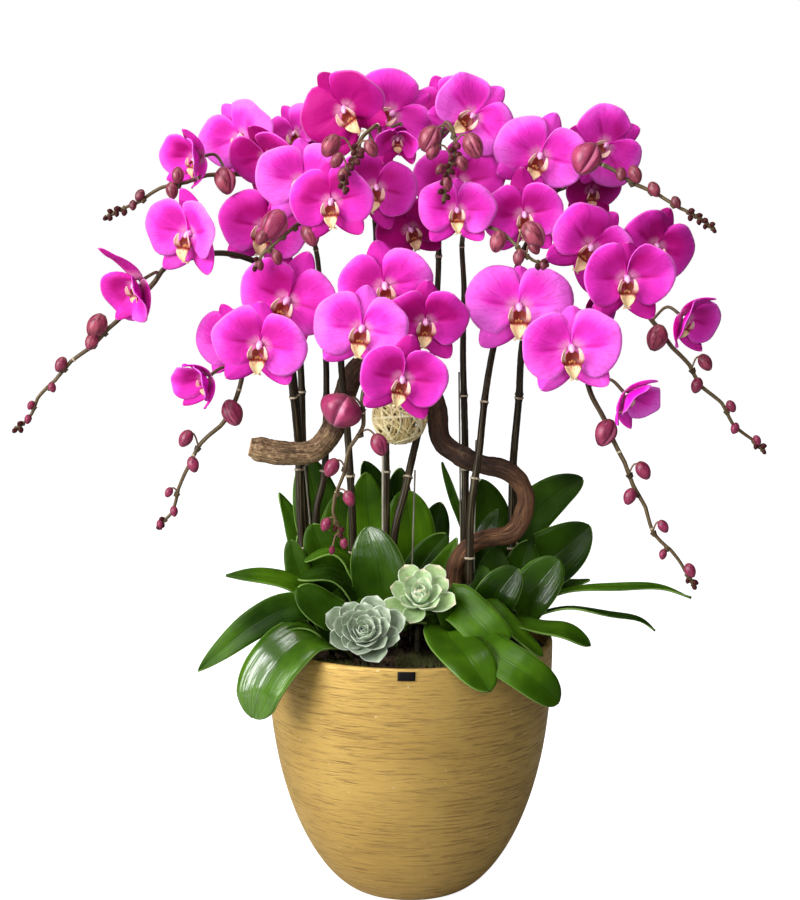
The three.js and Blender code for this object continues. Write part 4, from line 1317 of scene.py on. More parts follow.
def makeBall():
    centre = spot(ball["at"])
    piece = newPiece("cane_ball", bpy.data.meshes.new("cane_ball"))
    values = {key.capitalize(): ball[key]
              for key in ("strips", "radius", "width", "thick", "seed")}
    runTree(piece, ballTree(), {**values, "Place": centre, "Material": caneMaterial()})
    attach(piece, "root")
    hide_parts("rattan_ball")
    low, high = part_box("ball_stake")
    middle = (low + high) / 2
    steps = ballStake["steps"]
    line = [Vector((middle.x, middle.y, mix(low.z, high.z, k / steps)))
            for k in range(steps + 1)]
    stake = sweepRoutes("ball_cane", [(line, [ballStake["radius"]] * len(line))],
                        ballStake["sides"], stakeMaterial(), lumps=ballStake["lumps"],
                        lumpScale=ballStake["lumpScale"])
    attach(stake, "root")
    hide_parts("ball_stake")


makeVine()
makeBall()
print("vine and ball are made")


# The eleven spikes: where each stem stands and its route to the tip; its blooms, each with its
# place, width in millimetres, yaw, pitch, roll and how far it is still shut; and its buds, each
# with its column, row and length in millimetres, and how fat it is where that isn't 1
spikes = {
    "upper_left": {
        "foot": (-94, -74),
        "route": [(304, 470, -78), (301, 372, -74), (294, 290, -62), (282, 222, -44),
                  (263, 184, -28), (236, 174, 2), (209, 176, 26), (180, 183, 40), (156, 191, 42),
                  (135, 203, 44), (107, 217, 44)],
        "blooms": [
            ((197, 158, 16), 72, -44, -8, -10, 0.42),
            ((242, 137, -17), 80, -30, 2, 32, 0.14),
            ((269, 156, 20), 80, -26, -28, 10, 0.16),
        ],
        "buds": [(225, 180, 26), (178, 175, 16), (172, 190, 16), (140, 195, 12), (133, 205, 10)],
    },
    "long_left": {
        "foot": (-104, -50),
        "route": [(301, 470, -56), (293, 372, -48), (284, 310, -26), (272, 276, -6),
                  (249, 259, 28), (219, 253, 44), (190, 258, 46), (165, 268, 54), (153, 284, 58),
                  (122, 316, 62), (100, 338, 64), (71, 363, 66), (41, 395, 68), (31, 414, 68),
                  (17, 428, 68)],
        "blooms": [
            ((266, 228, 21.5), 90, -8, 0, -12, 0.08),
            ((191, 234, 78), 88, -36, -4, -6, 0.18),
            ((137, 283, 92), 84, -50, -24, 0, 0.36),
        ],
        "buds": [(97, 325, 24), (92, 341, 17), (61, 364, 15), (52, 387, 10), (31, 405, 9),
                 (28, 419, 9)],
    },
    "lower_left": {
        "foot": (-106, -28),
        "route": [(300, 505, -34), (298, 443, -36), (290, 372, -20), (281, 325, 12),
                  (266, 302, 44), (251, 314, 68), (245, 345, 84), (242, 376, 92), (230, 413, 98),
                  (205, 440, 102), (188, 465, 104), (172, 510, 106), (160, 525, 106)],
        "blooms": [
            ((287, 301, 88), 92, -6, -2, -26, 0.08),
            ((260, 345, 122), 88, -6, -6, -4, 0.1),
            ((206, 378, 108), 66, -45, -22, 0, 0.52),
        ],
        "buds": [(232, 412, 25), (186, 438, 17), (193, 464, 15), (169, 492, 10), (174, 511, 10),
                 (160, 524, 9)],
    },
    "centre_left": {
        "foot": (-86, -38),
        "route": [(316, 515, -38), (324, 477, -38), (326, 420, -36), (326, 360, -28),
                  (322, 315, -20), (318, 262, -8), (314, 242, 8), (309, 230, 44), (301, 224, 82),
                  (279, 239, 104), (262, 257, 108), (256, 266, 108)],
        "blooms": [
            ((303, 182, 56), 88, -2, 6, 0, 0.08),
            ((332, 202, 106), 80, -12, -6, 4, 0.12),
        ],
        "buds": [(274, 224, 30), (262, 237, 15), (310, 234, 22), (277, 257, 14), (260, 265, 10)],
    },
    "top_left": {
        "foot": (-27, -14),
        "route": [(386, 530, -20), (386, 462, -24), (384, 390, -26), (380, 320, -20),
                  (376, 236, -4), (372, 184, 10), (371, 166, 34), (374, 148, 60), (379, 130, 78),
                  (376, 125, 88), (364, 135, 100), (355, 156, 118), (344, 174, 132),
                  (345, 191, 140)],
        "blooms": [
            ((346, 109, 58), 88, -20, -14, 35, 0.1),
            ((391, 114, 16), 87, 8, 0, -62, 0.08),
            ((398, 137, 70), 58, -8, -34, 0, 0.5),
            ((375, 188, 66), 80, 16, 0, -16, 0.1),
        ],
        "buds": [(331, 145, 22), (337, 160, 15), (371, 148, 17), (343, 176, 15)],
    },
    "centre_hanging": {
        "foot": (-57, -12),
        "route": [(353, 539, -10), (350, 470, -2), (347, 427, 4), (341, 360, 12), (342, 312, 20),
                  (352, 276, 34), (366, 268, 46), (379, 296, 68), (381, 332, 88), (373, 368, 106),
                  (364, 390, 116), (362, 426, 120), (349, 452, 122), (344, 470, 124),
                  (335, 501, 124), (333, 514, 124), (340, 532, 124)],
        "blooms": [
            ((385, 286, 92), 88, 0, -6, 8, 0.08),
            ((362, 329, 128), 88, -4, 0, -8, 0.1),
            ((425, 322, 112), 80, 6, -4, -4, 0.1),
            ((402, 379, 168), 82, 4, -8, -14, 0.1),
        ],
        "buds": [(342, 410, 30, 1.7), (379, 444, 21), (332, 467, 18), (349, 498, 15),
                 (326, 524, 13), (344, 543, 10), (332, 550, 8)],
    },
    "top_right": {
        "foot": (-14, 8),
        "route": [(394, 538, 6), (405, 490, 2), (415, 446, -14), (426, 400, -34), (434, 340, -38),
                  (438, 280, -28), (439, 220, -8), (439, 170, 8), (440, 142, 26), (443, 127, 54),
                  (449, 124, 76), (455, 134, 90), (454, 150, 94), (448, 173, 96), (444, 198, 96)],
        "blooms": [
            ((472, 116, 42), 84, 4, -2, -50, 0.08),
            ((458, 184, 32), 88, 0, 8, 0, 0.06),
        ],
        "buds": [(430, 138, 25), (433, 151, 16), (473, 145, 24), (462, 163, 15), (440, 169, 11),
                 (447, 183, 14)],
    },
    "centre_right": {
        "foot": (56, -34),
        "route": [(465, 530, -38), (465, 443, -40), (463, 351, -34), (464, 288, -24),
                  (462, 244, -8), (466, 231, 24), (477, 228, 48), (489, 226, 74), (502, 234, 96),
                  (518, 246, 108), (535, 262, 110), (545, 264, 110)],
        "blooms": [
            ((457, 211, 82), 72, 0, 4, 0, 0.1),
            ((524, 215, 62), 78, 2, -4, 2, 0.1),
        ],
        "buds": [(498, 241, 20), (533, 234, 26), (534, 247, 14), (519, 257, 15), (544, 264, 11)],
    },
    "upper_right": {
        "foot": (60, 26),
        "route": [(470, 531, 24), (472, 499, 24), (479, 453, 20), (485, 397, 10), (494, 345, 0),
                  (506, 300, -10), (524, 250, -12), (547, 204, -8), (562, 184, 4), (575, 172, 24),
                  (587, 163, 48), (601, 164, 66), (621, 176, 72), (641, 186, 74), (662, 198, 76),
                  (684, 209, 78), (712, 228, 78)],
        "blooms": [
            ((539, 156, 46), 88, 6, -4, -24, 0.08),
            ((604, 145, 4), 82, 14, -8, -66, 0.1),
        ],
        "buds": [(587, 158, 31, 1.12), (621, 174, 14), (635, 174, 17), (654, 189, 15),
                 (676, 202, 12)],
    },
    "long_right": {
        "foot": (102, -56),
        "route": [(514, 520, -62), (513, 467, -62), (519, 397, -58), (522, 347, -54),
                  (534, 290, -40), (556, 250, -16), (590, 242, 10), (620, 262, 34),
                  (638, 294, 54), (648, 315, 62), (668, 341, 68), (686, 362, 70), (699, 382, 72),
                  (721, 404, 74), (735, 425, 76), (762, 449, 76)],
        "blooms": [
            ((589, 247, 56), 88, 12, -8, -36, 0.08),
            ((626, 279, 106), 88, 8, -4, -2, 0.12),
            ((655, 246, 32), 82, 18, -6, -24, 0.08),
            ((685, 318, 80), 72, 46, -24, -12, 0.38),
        ],
        "buds": [(657, 337, 25), (705, 362, 17), (697, 385, 15), (731, 406, 12), (735, 428, 11),
                 (757, 440, 10)],
    },
    "lower_right": {
        "foot": (106, -28),
        "route": [(512, 500, -34), (513, 467, -34), (519, 397, -28), (522, 347, -16),
                  (530, 316, 6), (546, 302, 32), (565, 314, 62), (578, 345, 84), (585, 372, 94),
                  (591, 394, 98), (603, 417, 100), (615, 443, 102), (627, 470, 104),
                  (642, 502, 106), (656, 535, 108), (682, 564, 110), (693, 584, 110)],
        "blooms": [
            ((519, 308, 76), 100, -2, 4, -1, 0.08),
            ((571, 349, 128), 94, 2, 2, 2, 0.1),
            ((590, 313, 40), 56, 58, -10, 0, 0.3),
            ((627, 395, 112), 68, 56, -36, -14, 0.4),
        ],
        "buds": [(606, 432, 26), (643, 470, 18), (630, 496, 16), (663, 526, 13), (663, 554, 10),
                 (690, 570, 14)],
    },
}

# Blooms that stand behind the others, and hang on the same stems. The last number is how deep the
# colour is; the deepest ones are painted shade behind the others
hiddenBlooms = {
    "upper_left": [((296, 134, -34), 66, -30, 4, 30, 0.1, 0.3)],
    "lower_left": [((231, 340, 62), 76, -30, -4, 10, 0.1, 0.3)],
    "top_left": [((410, 229, 22), 70, 12, -10, 20, 0.12, 1.0)],
    "top_right": [((446, 108, 8), 70, -8, 4, 20, 0.08, 0.35)],
    "upper_right": [((590, 190, -30), 62, 20, -14, 0, 0.1, 1.0)],
}

# How deep each bloom's colour is, from 0 for the palest to 1, partly its own colour and partly
# painted light and shade for how lit or shaded it stands; how long its upper sepal is, where that
# isn't 1; and how many degrees its petals lean
bloomMoods = {
    "upper_left": [(0.3,), (0.05,), (0.8,)],
    "long_left": [(0.5,), (0.22, 1.1), (0.6, 1.35, -42)],
    "lower_left": [(0.38, 1.18), (0.38,), (0.4,)],
    "centre_left": [(0.1,), (0.58,)],
    "top_left": [(0.95,), (0.35,), (0.75,), (0.5, 1.05)],
    "centre_hanging": [(0.32, 1.05), (0.12,), (0.64, 1.05), (0.62, 1.1)],
    "top_right": [(0.22,), (0.5,)],
    "centre_right": [(0.34, 0.9), (0.52, 1.25)],
    "upper_right": [(0.26, 1.05), (0.34,)],
    "long_right": [(0.48,), (0.55, 0.85), (0.66,), (0.5, 1.1)],
    "lower_right": [(0.06, 0.84), (0.14, 0.9), (0.55,), (0.24,)],
}

stem = {
    "footRadius": 0.0044,
    "tipRadius": 0.0015,
    "taper": 1.3,
    "sides": 10,
    "gap": 0.004,
    "zigzag": 0.0011,
    "zigzagGap": 0.024,
    "nodeGap": 0.078,
    "nodeSwell": 0.22,
    "stalkRadius": 0.0015,
    "stalkReach": 0.020,
    "stalkInset": 0.0035,
    "curveSteps": 14,
    "collarFrom": 0.05,
    "collarShort": 0.03,
    "collar": (1.02, 0.0018),
    "bract": (1.25, 0.0045),
    "tipBract": (0.0019, 0.003),
    "budStalkRadius": 0.0009,
    "tinyBuds": {"top_left": 15, "top_right": 14, "upper_right": 8, "upper_left": 6},
    "fewBuds": 3,
}


def stemMaterial():
    material, tree, shader = newMaterial("stemSkin", {"Specular IOR Level": 0.25})
    thick = attributeFac(tree, "thick")
    grain = noiseValue(tree, lengthwise(tree, 1.4, 9.0), 2.2, 4.0, 0.6)
    fleck = noiseValue(tree, objectPoints(tree, (1, 1, 0.4)), 260.0, 3.0)
    lower = ramp(tree, grain, [(0.34, (0.008, 0.005, 0.003)), (0.52, (0.030, 0.020, 0.010)),
                               (0.68, (0.135, 0.115, 0.052))])
    upper = ramp(tree, grain, [(0.30, (0.050, 0.028, 0.015)), (0.52, (0.125, 0.085, 0.040)),
                               (0.74, (0.27, 0.22, 0.12))])
    skin = blendColour(tree, grey(tree, thick, 0.0030, 0.0018), lower, upper)
    flecked = blendColour(tree, grey(tree, fleck, 0.60, 0.70, 0.0, 0.6), skin,
                          (0.035, 0.018, 0.012))
    blush = grey(tree, thick, 0.00125, 0.0009)
    paint(tree, shader, blendColour(tree, times(tree, blush, 0.35), flecked,
                                    (0.34, 0.15, 0.12)),
          grey(tree, grain, 0.3, 0.7, 0.3, 0.5))
    addBump(tree, shader, grain, 0.4, 0.0006)
    return material


def nodeMaterial():
    return grainMaterial("nodeSheath", (0.26, 0.20, 0.12), (0.62, 0.54, 0.38), 300.0, 0.65,
                         0.6, 3.0, 0.55, bump=(0.3, 0.0004))


def sheathTree():
    # a papery collar on every point, along the stem's own way there
    tree, begin, end = newTree("stemNodes", {"Sides": "Int", "Flare": "Float",
                                             "Material": "Material"})
    take = begin.outputs
    cone = addNode(tree, "GeometryNodeMeshCone", {
        "Vertices": take["Sides"], "Side Segments": 2, "Fill Segments": 1,
        "Radius Top": 1.04, "Radius Bottom": take["Flare"], "Depth": 1.0})
    way = addNode(tree, "GeometryNodeInputNamedAttribute", {"Name": "way"},
                  data_type="FLOAT_VECTOR")
    turn = addNode(tree, "FunctionNodeAlignEulerToVector", {
        "Vector": out(way, "Attribute")}, axis="Z")
    stretch = addNode(tree, "ShaderNodeCombineXYZ", {
        "X": readAttribute(tree, "thick"), "Y": readAttribute(tree, "thick"),
        "Z": readAttribute(tree, "tall")})
    points = addNode(tree, "GeometryNodeMeshToPoints", {"Mesh": take["Geometry"]})
    copies = addNode(tree, "GeometryNodeInstanceOnPoints", {
        "Points": out(points), "Instance": out(cone, "Mesh"),
        "Rotation": asRotation(tree, out(turn)), "Scale": out(stretch)})
    return endTree(tree, end, realized(tree, out(copies)), take["Material"])


sheaths = sheathTree()


def sheathPiece(name, collars, flare, material):
    # collars: place, way, radius and height of each
    mesh = bpy.data.meshes.new(name)
    mesh.from_pydata([tuple(c[0]) for c in collars], [], [])
    for label, column in (("thick", 2), ("tall", 3)):
        layer = mesh.attributes.new(label, "FLOAT", "POINT")
        layer.data.foreach_set("value", [c[column] for c in collars])
    layer = mesh.attributes.new("way", "FLOAT_VECTOR", "POINT")
    layer.data.foreach_set("vector", [v for c in collars for v in c[1]])
    return runTree(newPiece(name, mesh), sheaths, {"Sides": 10, "Flare": flare,
                                                   "Material": material})


def budMaterial():
    # the first shade is how large the bud is
    material, tree, shader = newMaterial("budSkin", {"Roughness": 0.36, "Sheen Weight": 0.04})
    uv, around, along = routeParts(tree)
    size = shadeParts(tree)[0]
    tree.links.new(grey(tree, size, 0.006, 0.012, 0.1, 0.5), shader.inputs["Specular IOR Level"])
    veins = noiseValue(tree, stretched(tree, uv, (16, 1.6, 1)), 1.6, 4.0, 0.65, 0.5)
    small = ramp(tree, veins, [(0.36, (0.040, 0.005, 0.011)), (0.60, (0.200, 0.030, 0.048))])
    large = ramp(tree, veins, [(0.36, (0.088, 0.008, 0.021)), (0.60, (0.400, 0.072, 0.115))])
    high = blendColour(tree, grey(tree, size, 0.010, 0.020), small, large)
    # the buds that hang low are redder than those among the blooms
    low = ramp(tree, veins, [(0.32, (0.074, 0.003, 0.020)), (0.64, (0.380, 0.038, 0.112))])
    level = out(addNode(tree, "ShaderNodeSeparateXYZ", {"Vector": objectPoints(tree)}), "Z")
    skin = blendColour(tree, grey(tree, level, 0.60, 0.48), high, low)
    opening = blendColour(tree, grey(tree, size, 0.027, 0.030, 0.0, 0.35), skin,
                          (0.44, 0.026, 0.150))
    tiny = blendColour(tree, grey(tree, size, 0.0095, 0.0065, 0.0, 0.95), opening,
                       (0.050, 0.009, 0.009))
    foot = blendColour(tree, times(tree, grey(tree, along, 0.26, 0.0, 0.0, 0.42),
                                   grey(tree, size, 0.0065, 0.0095)), tiny,
                       (0.20, 0.10, 0.050))
    # each sepal is darkest where the next one laps over it, a painted shadow under the lap, and
    # pale along its own edge
    turned = plus(tree, times(tree, around, 3.0), 0.5)
    lap = maths(tree, "FRACT", turned)
    lapped = grey(tree, size, 0.016, 0.030)
    under = blendColour(tree, times(tree, grey(tree, lap, 0.30, 0.0, 0.0, 0.85),
                                    lapped), foot, (0.11, 0.003, 0.030))
    edged = blendColour(tree, times(tree, grey(tree, lap, 0.86, 1.0, 0.0, 0.6),
                                    lapped), under, (0.72, 0.20, 0.36))
    paint(tree, shader, edged)
    addBump(tree, shader, veins, 0.35, 0.0006)
    return material


budShape = {"rows": 12, "sides": 18, "bigSides": 36, "bigFrom": 0.019, "openFrom": 0.027,
            "fat": 0.39, "seam": 0.09, "seamWidth": 0.34, "fold": 0.22, "ahead": 0.45,
            "down": 0.85}


def addBud(sheets, start, way, length, turned, fat=1.0):
    across = Vector((0, 1, 0)).cross(way).normalized()
    over = way.cross(across)
    deep = budShape["seam"] * (1.5 if length > budShape["openFrom"] else 1.0)
    fold = budShape["fold"] * smooth(0.015, 0.030, length)

    def place(a, b):
        turn = fullTurn * b
        swell = sin(pi * min(1.0, a * 0.94 + 0.03)) ** 0.55
        swell *= 1.06 - 0.16 * a
        seam = exp(-(cos(turn * 1.5) / budShape["seamWidth"]) ** 2)
        reach = fat * budShape["fat"] * length * swell * (1 - deep * seam * smooth(0.1, 0.5, a))
        # the sepals lap over each other, so each ends in a small step
        reach *= 1 + fold * ((b * 3 + 0.5) % 1.0) ** 2 * smooth(0.04, 0.35, a)
        reach = max(reach, 0.00002)
        along = mix(-0.04, 1.0, a) * length
        point = start + way * along
        point += across * reach * cos(turn + turned) + over * reach * sin(turn + turned)
        return point, (b, a, length, 0.0)

    rows = budShape["rows"]
    sides = budShape["bigSides"] if length > budShape["bigFrom"] else budShape["sides"]
    first = sheets.grid(rows, sides, place)
    # the seam's two columns share their places; only the poles need a face
    for row, flip in ((0, True), (rows, False)):
        sheets.cap(first + row * (sides + 1), sides, 0, flip)


def nearest(line, place):
    return min(range(len(line)), key=lambda index: (line[index] - place).length)


def arch(a, b, lift):
    return catmullRoute([a, (a + b) / 2 + Vector((0, 0, lift)), b], 4)


def makeSpike(name, spike, materials, rng):
    line = evenRoute(catmullRoute(rooted(spike["foot"], spike["route"]), stem["curveSteps"]),
                     stem["gap"])
    count = len(line) - 1
    radii = [mix(stem["footRadius"], stem["tipRadius"], (k / count) ** stem["taper"])
             for k in range(count + 1)]
    straight = [p.copy() for p in line]
    high = count * stem["gap"]
    collars = []
    for index in range(1, count):
        run = index * stem["gap"]
        way = (straight[index + 1] - straight[index - 1]).normalized()
        bend = smooth(0.0026, 0.0020, radii[index])
        if bend:
            swing = abs((run / stem["zigzagGap"]) % 2 - 1) * 2 - 1
            side = way.cross(Vector((0, 1, 0))).normalized()
            line[index] = straight[index] + side * stem["zigzag"] * swing * bend
        near = abs((run + 0.02) % stem["nodeGap"] - stem["nodeGap"] / 2) / stem["gap"]
        if near <= 1.0 and not bend:
            radii[index] *= 1 + stem["nodeSwell"] * (1 - near)
        if near <= 0.5 and stem["collarFrom"] < run < high - stem["collarShort"]:
            collars.append((line[index], way, radii[index] * stem["collar"][0],
                            stem["collar"][1]))
    routes = [(line, radii)]
    buds = Sheets()

    for place, width, yaw, pitch, *shape in spike["blooms"] + hiddenBlooms.get(name, []):
        look = flowerBasis(yaw, pitch, shape[0]).col[2]
        back = spot(place) - look * stem["stalkInset"]
        bend = back - look * stem["stalkReach"]
        root = nearest(line, bend)
        stalk = catmullRoute([line[root], bend, back], 7)
        steps = len(stalk) - 1
        routes.append((stalk, [stem["stalkRadius"] * (0.85 + 0.35 * k / steps)
                               for k in range(steps + 1)]))

    bracts = []
    forward = spike["route"][-3][2]
    for column, row, length, *fat in spike["buds"]:
        guess = nearest(straight, spot((column, row, forward)))
        centre = spot((column, row, 2 - straight[guess].y / millimetre))
        root = nearest(line, centre)
        length *= millimetre
        way = (centre - line[root]).normalized() * budShape["ahead"]
        way = (way - Vector((0, 0, budShape["down"]))).normalized()
        start = centre - way * 0.45 * length
        addBud(buds, start, way, length, rng.uniform(0, 6.28), *fat)
        end = start + way * 0.06 * length
        stalk = arch(line[root], end, 0.30 * (end - line[root]).length)
        routes.append((stalk, [stem["budStalkRadius"] * (0.8 + length * 14)] * len(stalk)))
        bracts.append((line[root], way, radii[root] * stem["bract"][0], stem["bract"][1]))

    tipWay = (line[-1] - line[-4]).normalized()
    side = tipWay.cross(Vector((0, 1, 0))).normalized()
    for index in range(stem["tinyBuds"].get(name, stem["fewBuds"])):
        at = line[-1 - index]
        swing = 1 if index % 2 else -1
        way = (tipWay * 0.6 + side * swing * rng.uniform(0.5, 1.4) * min(1, index)
               + Vector((0, -0.5 + rng.uniform(-0.8, 0.6), -0.2))).normalized()
        addBud(buds, at + way * 0.0014, way, rng.uniform(0.0045, 0.0062) + 0.0002 * index,
               rng.uniform(0, 6.28), 1.15)
        bracts.append((at, tipWay, *stem["tipBract"]))

    piece = sweepRoutes(name + "_stem", routes, stem["sides"], materials["stem"], lumps=0.22,
                        lumpScale=180.0)
    parts = [sheathPiece(name + "_collars", collars, 1.14, materials["node"]),
             sheathPiece(name + "_bracts", bracts, 1.5, materials["stem"])]
    joinPieces(piece, parts)
    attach(piece, "root")
    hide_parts(name + "_spike")
    budPiece = buds.piece(name + "_buds", [materials["bud"]])
    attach(budPiece, "root")
    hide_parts(name + "_spike")


# Thin canes that stand beside some stems, from the mix to their upper ends
canes = {"radius": 0.0009, "gap": 0.006,
         "routes": [((-92, -44), (305, 467, -44)), ((0, -8), (415, 470, -8)),
                    ((54, -46), (459, 372, -46)), ((64, -20), (476, 440, -20))]}


def makeCanes():
    routes = []
    for foot, top in canes["routes"]:
        line = evenRoute([standing(foot), spot(top)], canes["gap"])
        routes.append((line, [canes["radius"]] * len(line)))
    piece = sweepRoutes("support_canes", routes, 8, stakeMaterial(), lumps=0.3, lumpScale=120.0)
    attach(piece, "root")


# One bloom: two broad petals over three sepals, a lip with two side lobes, and the column.
# Lengths are parts of the bloom's width

# A petal's outline about the column: degrees from its own axis, and reach in bloom widths
petalOutline = [(-80, 0.06), (-73, 0.20), (-60, 0.36), (-42, 0.445), (-21, 0.495), (0, 0.52),
                (20, 0.515), (40, 0.48), (58, 0.435), (71, 0.375), (79, 0.25), (84, 0.07)]

bloomShape = {
    "petalAxis": 8.0, "petalRows": 13, "petalColumns": 27, "sepalReach": 0.475,
    "sepalHalf": 0.165, "sepalAngles": (90, -50, -130), "sepalRows": 12, "sepalColumns": 8,
    "thickness": 0.0007, "shutFrom": 0.3, "shutSize": 0.85,
}


def petalEdge(axis, rng):
    # the outline of one petal, evenly spaced along its length
    corners = []
    for degrees, reach in petalOutline:
        angle = radians(axis + degrees * rng.uniform(0.97, 1.03))
        radius = reach * rng.uniform(0.955, 1.035)
        corners.append(Vector((radius * cos(angle), radius * sin(angle), 0)))
    line = catmullRoute(corners, 8)
    lengths = [0.0]
    for before, after in zip(line, line[1:]):
        lengths.append(lengths[-1] + (after - before).length)
    edge = []
    index = 0
    for step in range(bloomShape["petalColumns"]):
        goal = lengths[-1] * step / (bloomShape["petalColumns"] - 1)
        while index < len(line) - 2 and lengths[index + 1] < goal:
            index += 1
        part = (goal - lengths[index]) / max(1e-9, lengths[index + 1] - lengths[index])
        edge.append(line[index].lerp(line[index + 1], min(1.0, part)))
    return edge


def addPetals(sheets, width, cup, tone, lean, rng):
    bend = cup * pi / 2
    for side in (1, -1):
        axis = bloomShape["petalAxis"] + rng.uniform(-7, 8) + lean
        edge = petalEdge(axis, rng)
        phase, ruffle = rng.uniform(0, 6.28), rng.uniform(0.014, 0.034)
        tilt, twist = rng.uniform(-0.10, 0.14), rng.uniform(-0.08, 0.08)
        swell = rng.uniform(0.035, 0.075)
        droop = rng.uniform(-0.02, 0.05)

        def place(a, b):
            s = mix(0.05, 1.0, a ** 0.85)
            rim = edge[round(b * (len(edge) - 1))]
            angle = atan2(rim.y, rim.x)
            turn = angle - radians(axis)
            flat = s * rim.length
            crease = exp(-(turn / 0.08) ** 2) * sin(pi * min(1, s * 1.12))
            z = 0.010 + swell * sin(pi * s ** 1.5) * cos(turn * 0.8)
            z -= 0.018 * crease + droop * s ** 3
            z += ruffle * s ** 3 * sin(3.3 * turn + phase)
            z += ruffle * 0.5 * s ** 5 * sin(8.0 * turn + phase * 3)
            z += 0.020 * s * s * sin(1.6 * turn + phase * 2)
            z += 0.007 * s * sin(5.0 * turn + phase * 5)
            z += tilt * flat * sin(angle) + twist * flat * cos(angle)
            folded = bend * min(1.0, flat / 0.5) ** 0.6
            radius = flat * cos(folded) - z * sin(folded)
            z = z * cos(folded) + flat * sin(folded)
            point = Vector((side * radius * cos(angle), radius * sin(angle), z))
            # painted shade: deeper in the crease, in the upper half and on the side away from the
            # light
            depth = tone + 0.16 * smooth(0.5, -0.9, side * cos(angle)) * s
            depth += 0.50 * crease * smooth(0.95, 0.3, s)
            depth += 0.42 * sin(pi * s) * smooth(-0.7, 0.9, turn)
            depth -= 0.26 * smooth(0.55, 1.0, s)
            return point * width, (s, b, depth, 0.0)

        sheets.grid(bloomShape["petalRows"], bloomShape["petalColumns"] - 1, place, 0)
        if side < 0:
            flipLast(sheets, bloomShape["petalRows"] * (bloomShape["petalColumns"] - 1))


def flipLast(sheets, count):
    sheets.faces[-count:] = [tuple(reversed(face)) for face in sheets.faces[-count:]]


def addSepals(sheets, width, cup, tone, upper, rng):
    bend = cup * pi / 2
    for index, degrees in enumerate(bloomShape["sepalAngles"]):
        axis = radians(degrees + rng.uniform(-4, 4))
        length = bloomShape["sepalReach"] * (upper if index == 0 else 1.08)
        curl = rng.uniform(-0.03, 0.05)

        def place(a, b):
            s = mix(0.04, 1.0, 1 - (1 - a) ** 1.5)
            across = 2 * b - 1
            swell = sin(pi * (0.08 + 0.92 * s ** 0.84)) ** 0.55 if s < 1 else 0.0
            half = bloomShape["sepalHalf"] * max(swell, 0.02)
            x, y = s * length, across * half
            z = -0.022 - 0.02 * s * s + curl * s ** 3 - 0.05 * across * across * half / 0.16
            z += 0.01 * exp(-(across / 0.2) ** 2) * s
            flat = hypot(x, y)
            folded = bend * min(1.0, flat / 0.5) ** 0.6
            pull = cos(folded) - z * sin(folded) / max(flat, 0.02)
            x, y = x * pull, y * pull
            z = z * cos(folded) + flat * sin(folded)
            point = Vector((x * cos(axis) - y * sin(axis),
                            x * sin(axis) + y * cos(axis), z))
            # the sepals a little deeper than the petals: painted shade behind them
            return point * width, (s, b, tone + 0.16, 1.0)

        sheets.grid(bloomShape["sepalRows"], bloomShape["sepalColumns"], place, 0)


lip = {
    "bowl": (0.084, 0.078),
    "bowlCentre": -0.086,
    "ear": [(0.064, -0.160, 0.094, 0.010), (0.080, -0.128, 0.112, 0.023),
            (0.086, -0.088, 0.126, 0.024), (0.082, -0.046, 0.134, 0.019),
            (0.072, -0.008, 0.130, 0.011), (0.062, 0.012, 0.124, 0.003)],
    "spine": [(-0.134, 0.074, 0.066), (-0.160, 0.096, 0.082), (-0.190, 0.112, 0.076),
              (-0.224, 0.118, 0.060), (-0.256, 0.114, 0.042), (-0.282, 0.104, 0.024),
              (-0.294, 0.094, 0.008)],
}


def alongSpine(spine, a):
    where = a * (len(spine) - 1)
    index = min(len(spine) - 2, int(where))
    return [mix(p, q, where - index) for p, q in zip(spine[index], spine[index + 1])]


def addLip(sheets, width, tone, rng):
    wide, tall = lip["bowl"]

    # the striped throat, hollow towards the viewer
    def bowl(a, b):
        turn = fullTurn * b
        x = a * wide * cos(turn) * (1 - 0.34 * sin(turn))
        y = lip["bowlCentre"] + a * tall * sin(turn)
        return Vector((x, y, 0.056 + 0.036 * a * a)) * width, (a, b, tone, 0.0)

    sheets.grid(5, 20, bowl, 6, closed=True)
    flipLast(sheets, 100)

    # two pale ears that stand up beside the throat
    for side in (1, -1):
        apart = rng.uniform(0.92, 1.12)

        def ear(a, b):
            x, y, z, half = alongSpine(lip["ear"], a)
            across = 2 * b - 1
            x = x * apart + across * half
            z += 0.030 * across * half / 0.034 + 0.010 * across * across
            return Vector((side * x, y, z)) * width, (0.12 + 0.88 * a, b, tone, 0.0)

        sheets.grid(10, 5, ear, 2)
        if side < 0:
            flipLast(sheets, 50)

    sway = rng.uniform(-0.014, 0.014)

    def tongue(a, b):
        y, z, half = alongSpine(lip["spine"], a)
        across = 2 * b - 1
        z += 0.046 * abs(across) ** 1.8 * half / 0.08 - 0.006
        return Vector((across * half + sway * a * a, y, z)) * width, (a, b, tone, 0.0)

    sheets.grid(12, 8, tongue, 4)
    flipLast(sheets, 96)
    for side in (1, -1):
        def whisker(a, b):
            turn = fullTurn * b
            radius = 0.007 * (1 - 0.6 * a)
            curl = a * 3.4
            centre = Vector((side * (0.005 + 0.036 * sin(curl * 0.8)) + sway,
                             -0.290 - 0.014 * sin(curl), 0.094 - 0.030 * a))
            return (centre + Vector((cos(turn), sin(turn), 0)) * radius) * width, (
                0.9, 0.5, tone, 0.0)

        sheets.grid(6, 5, whisker, 4, closed=True)


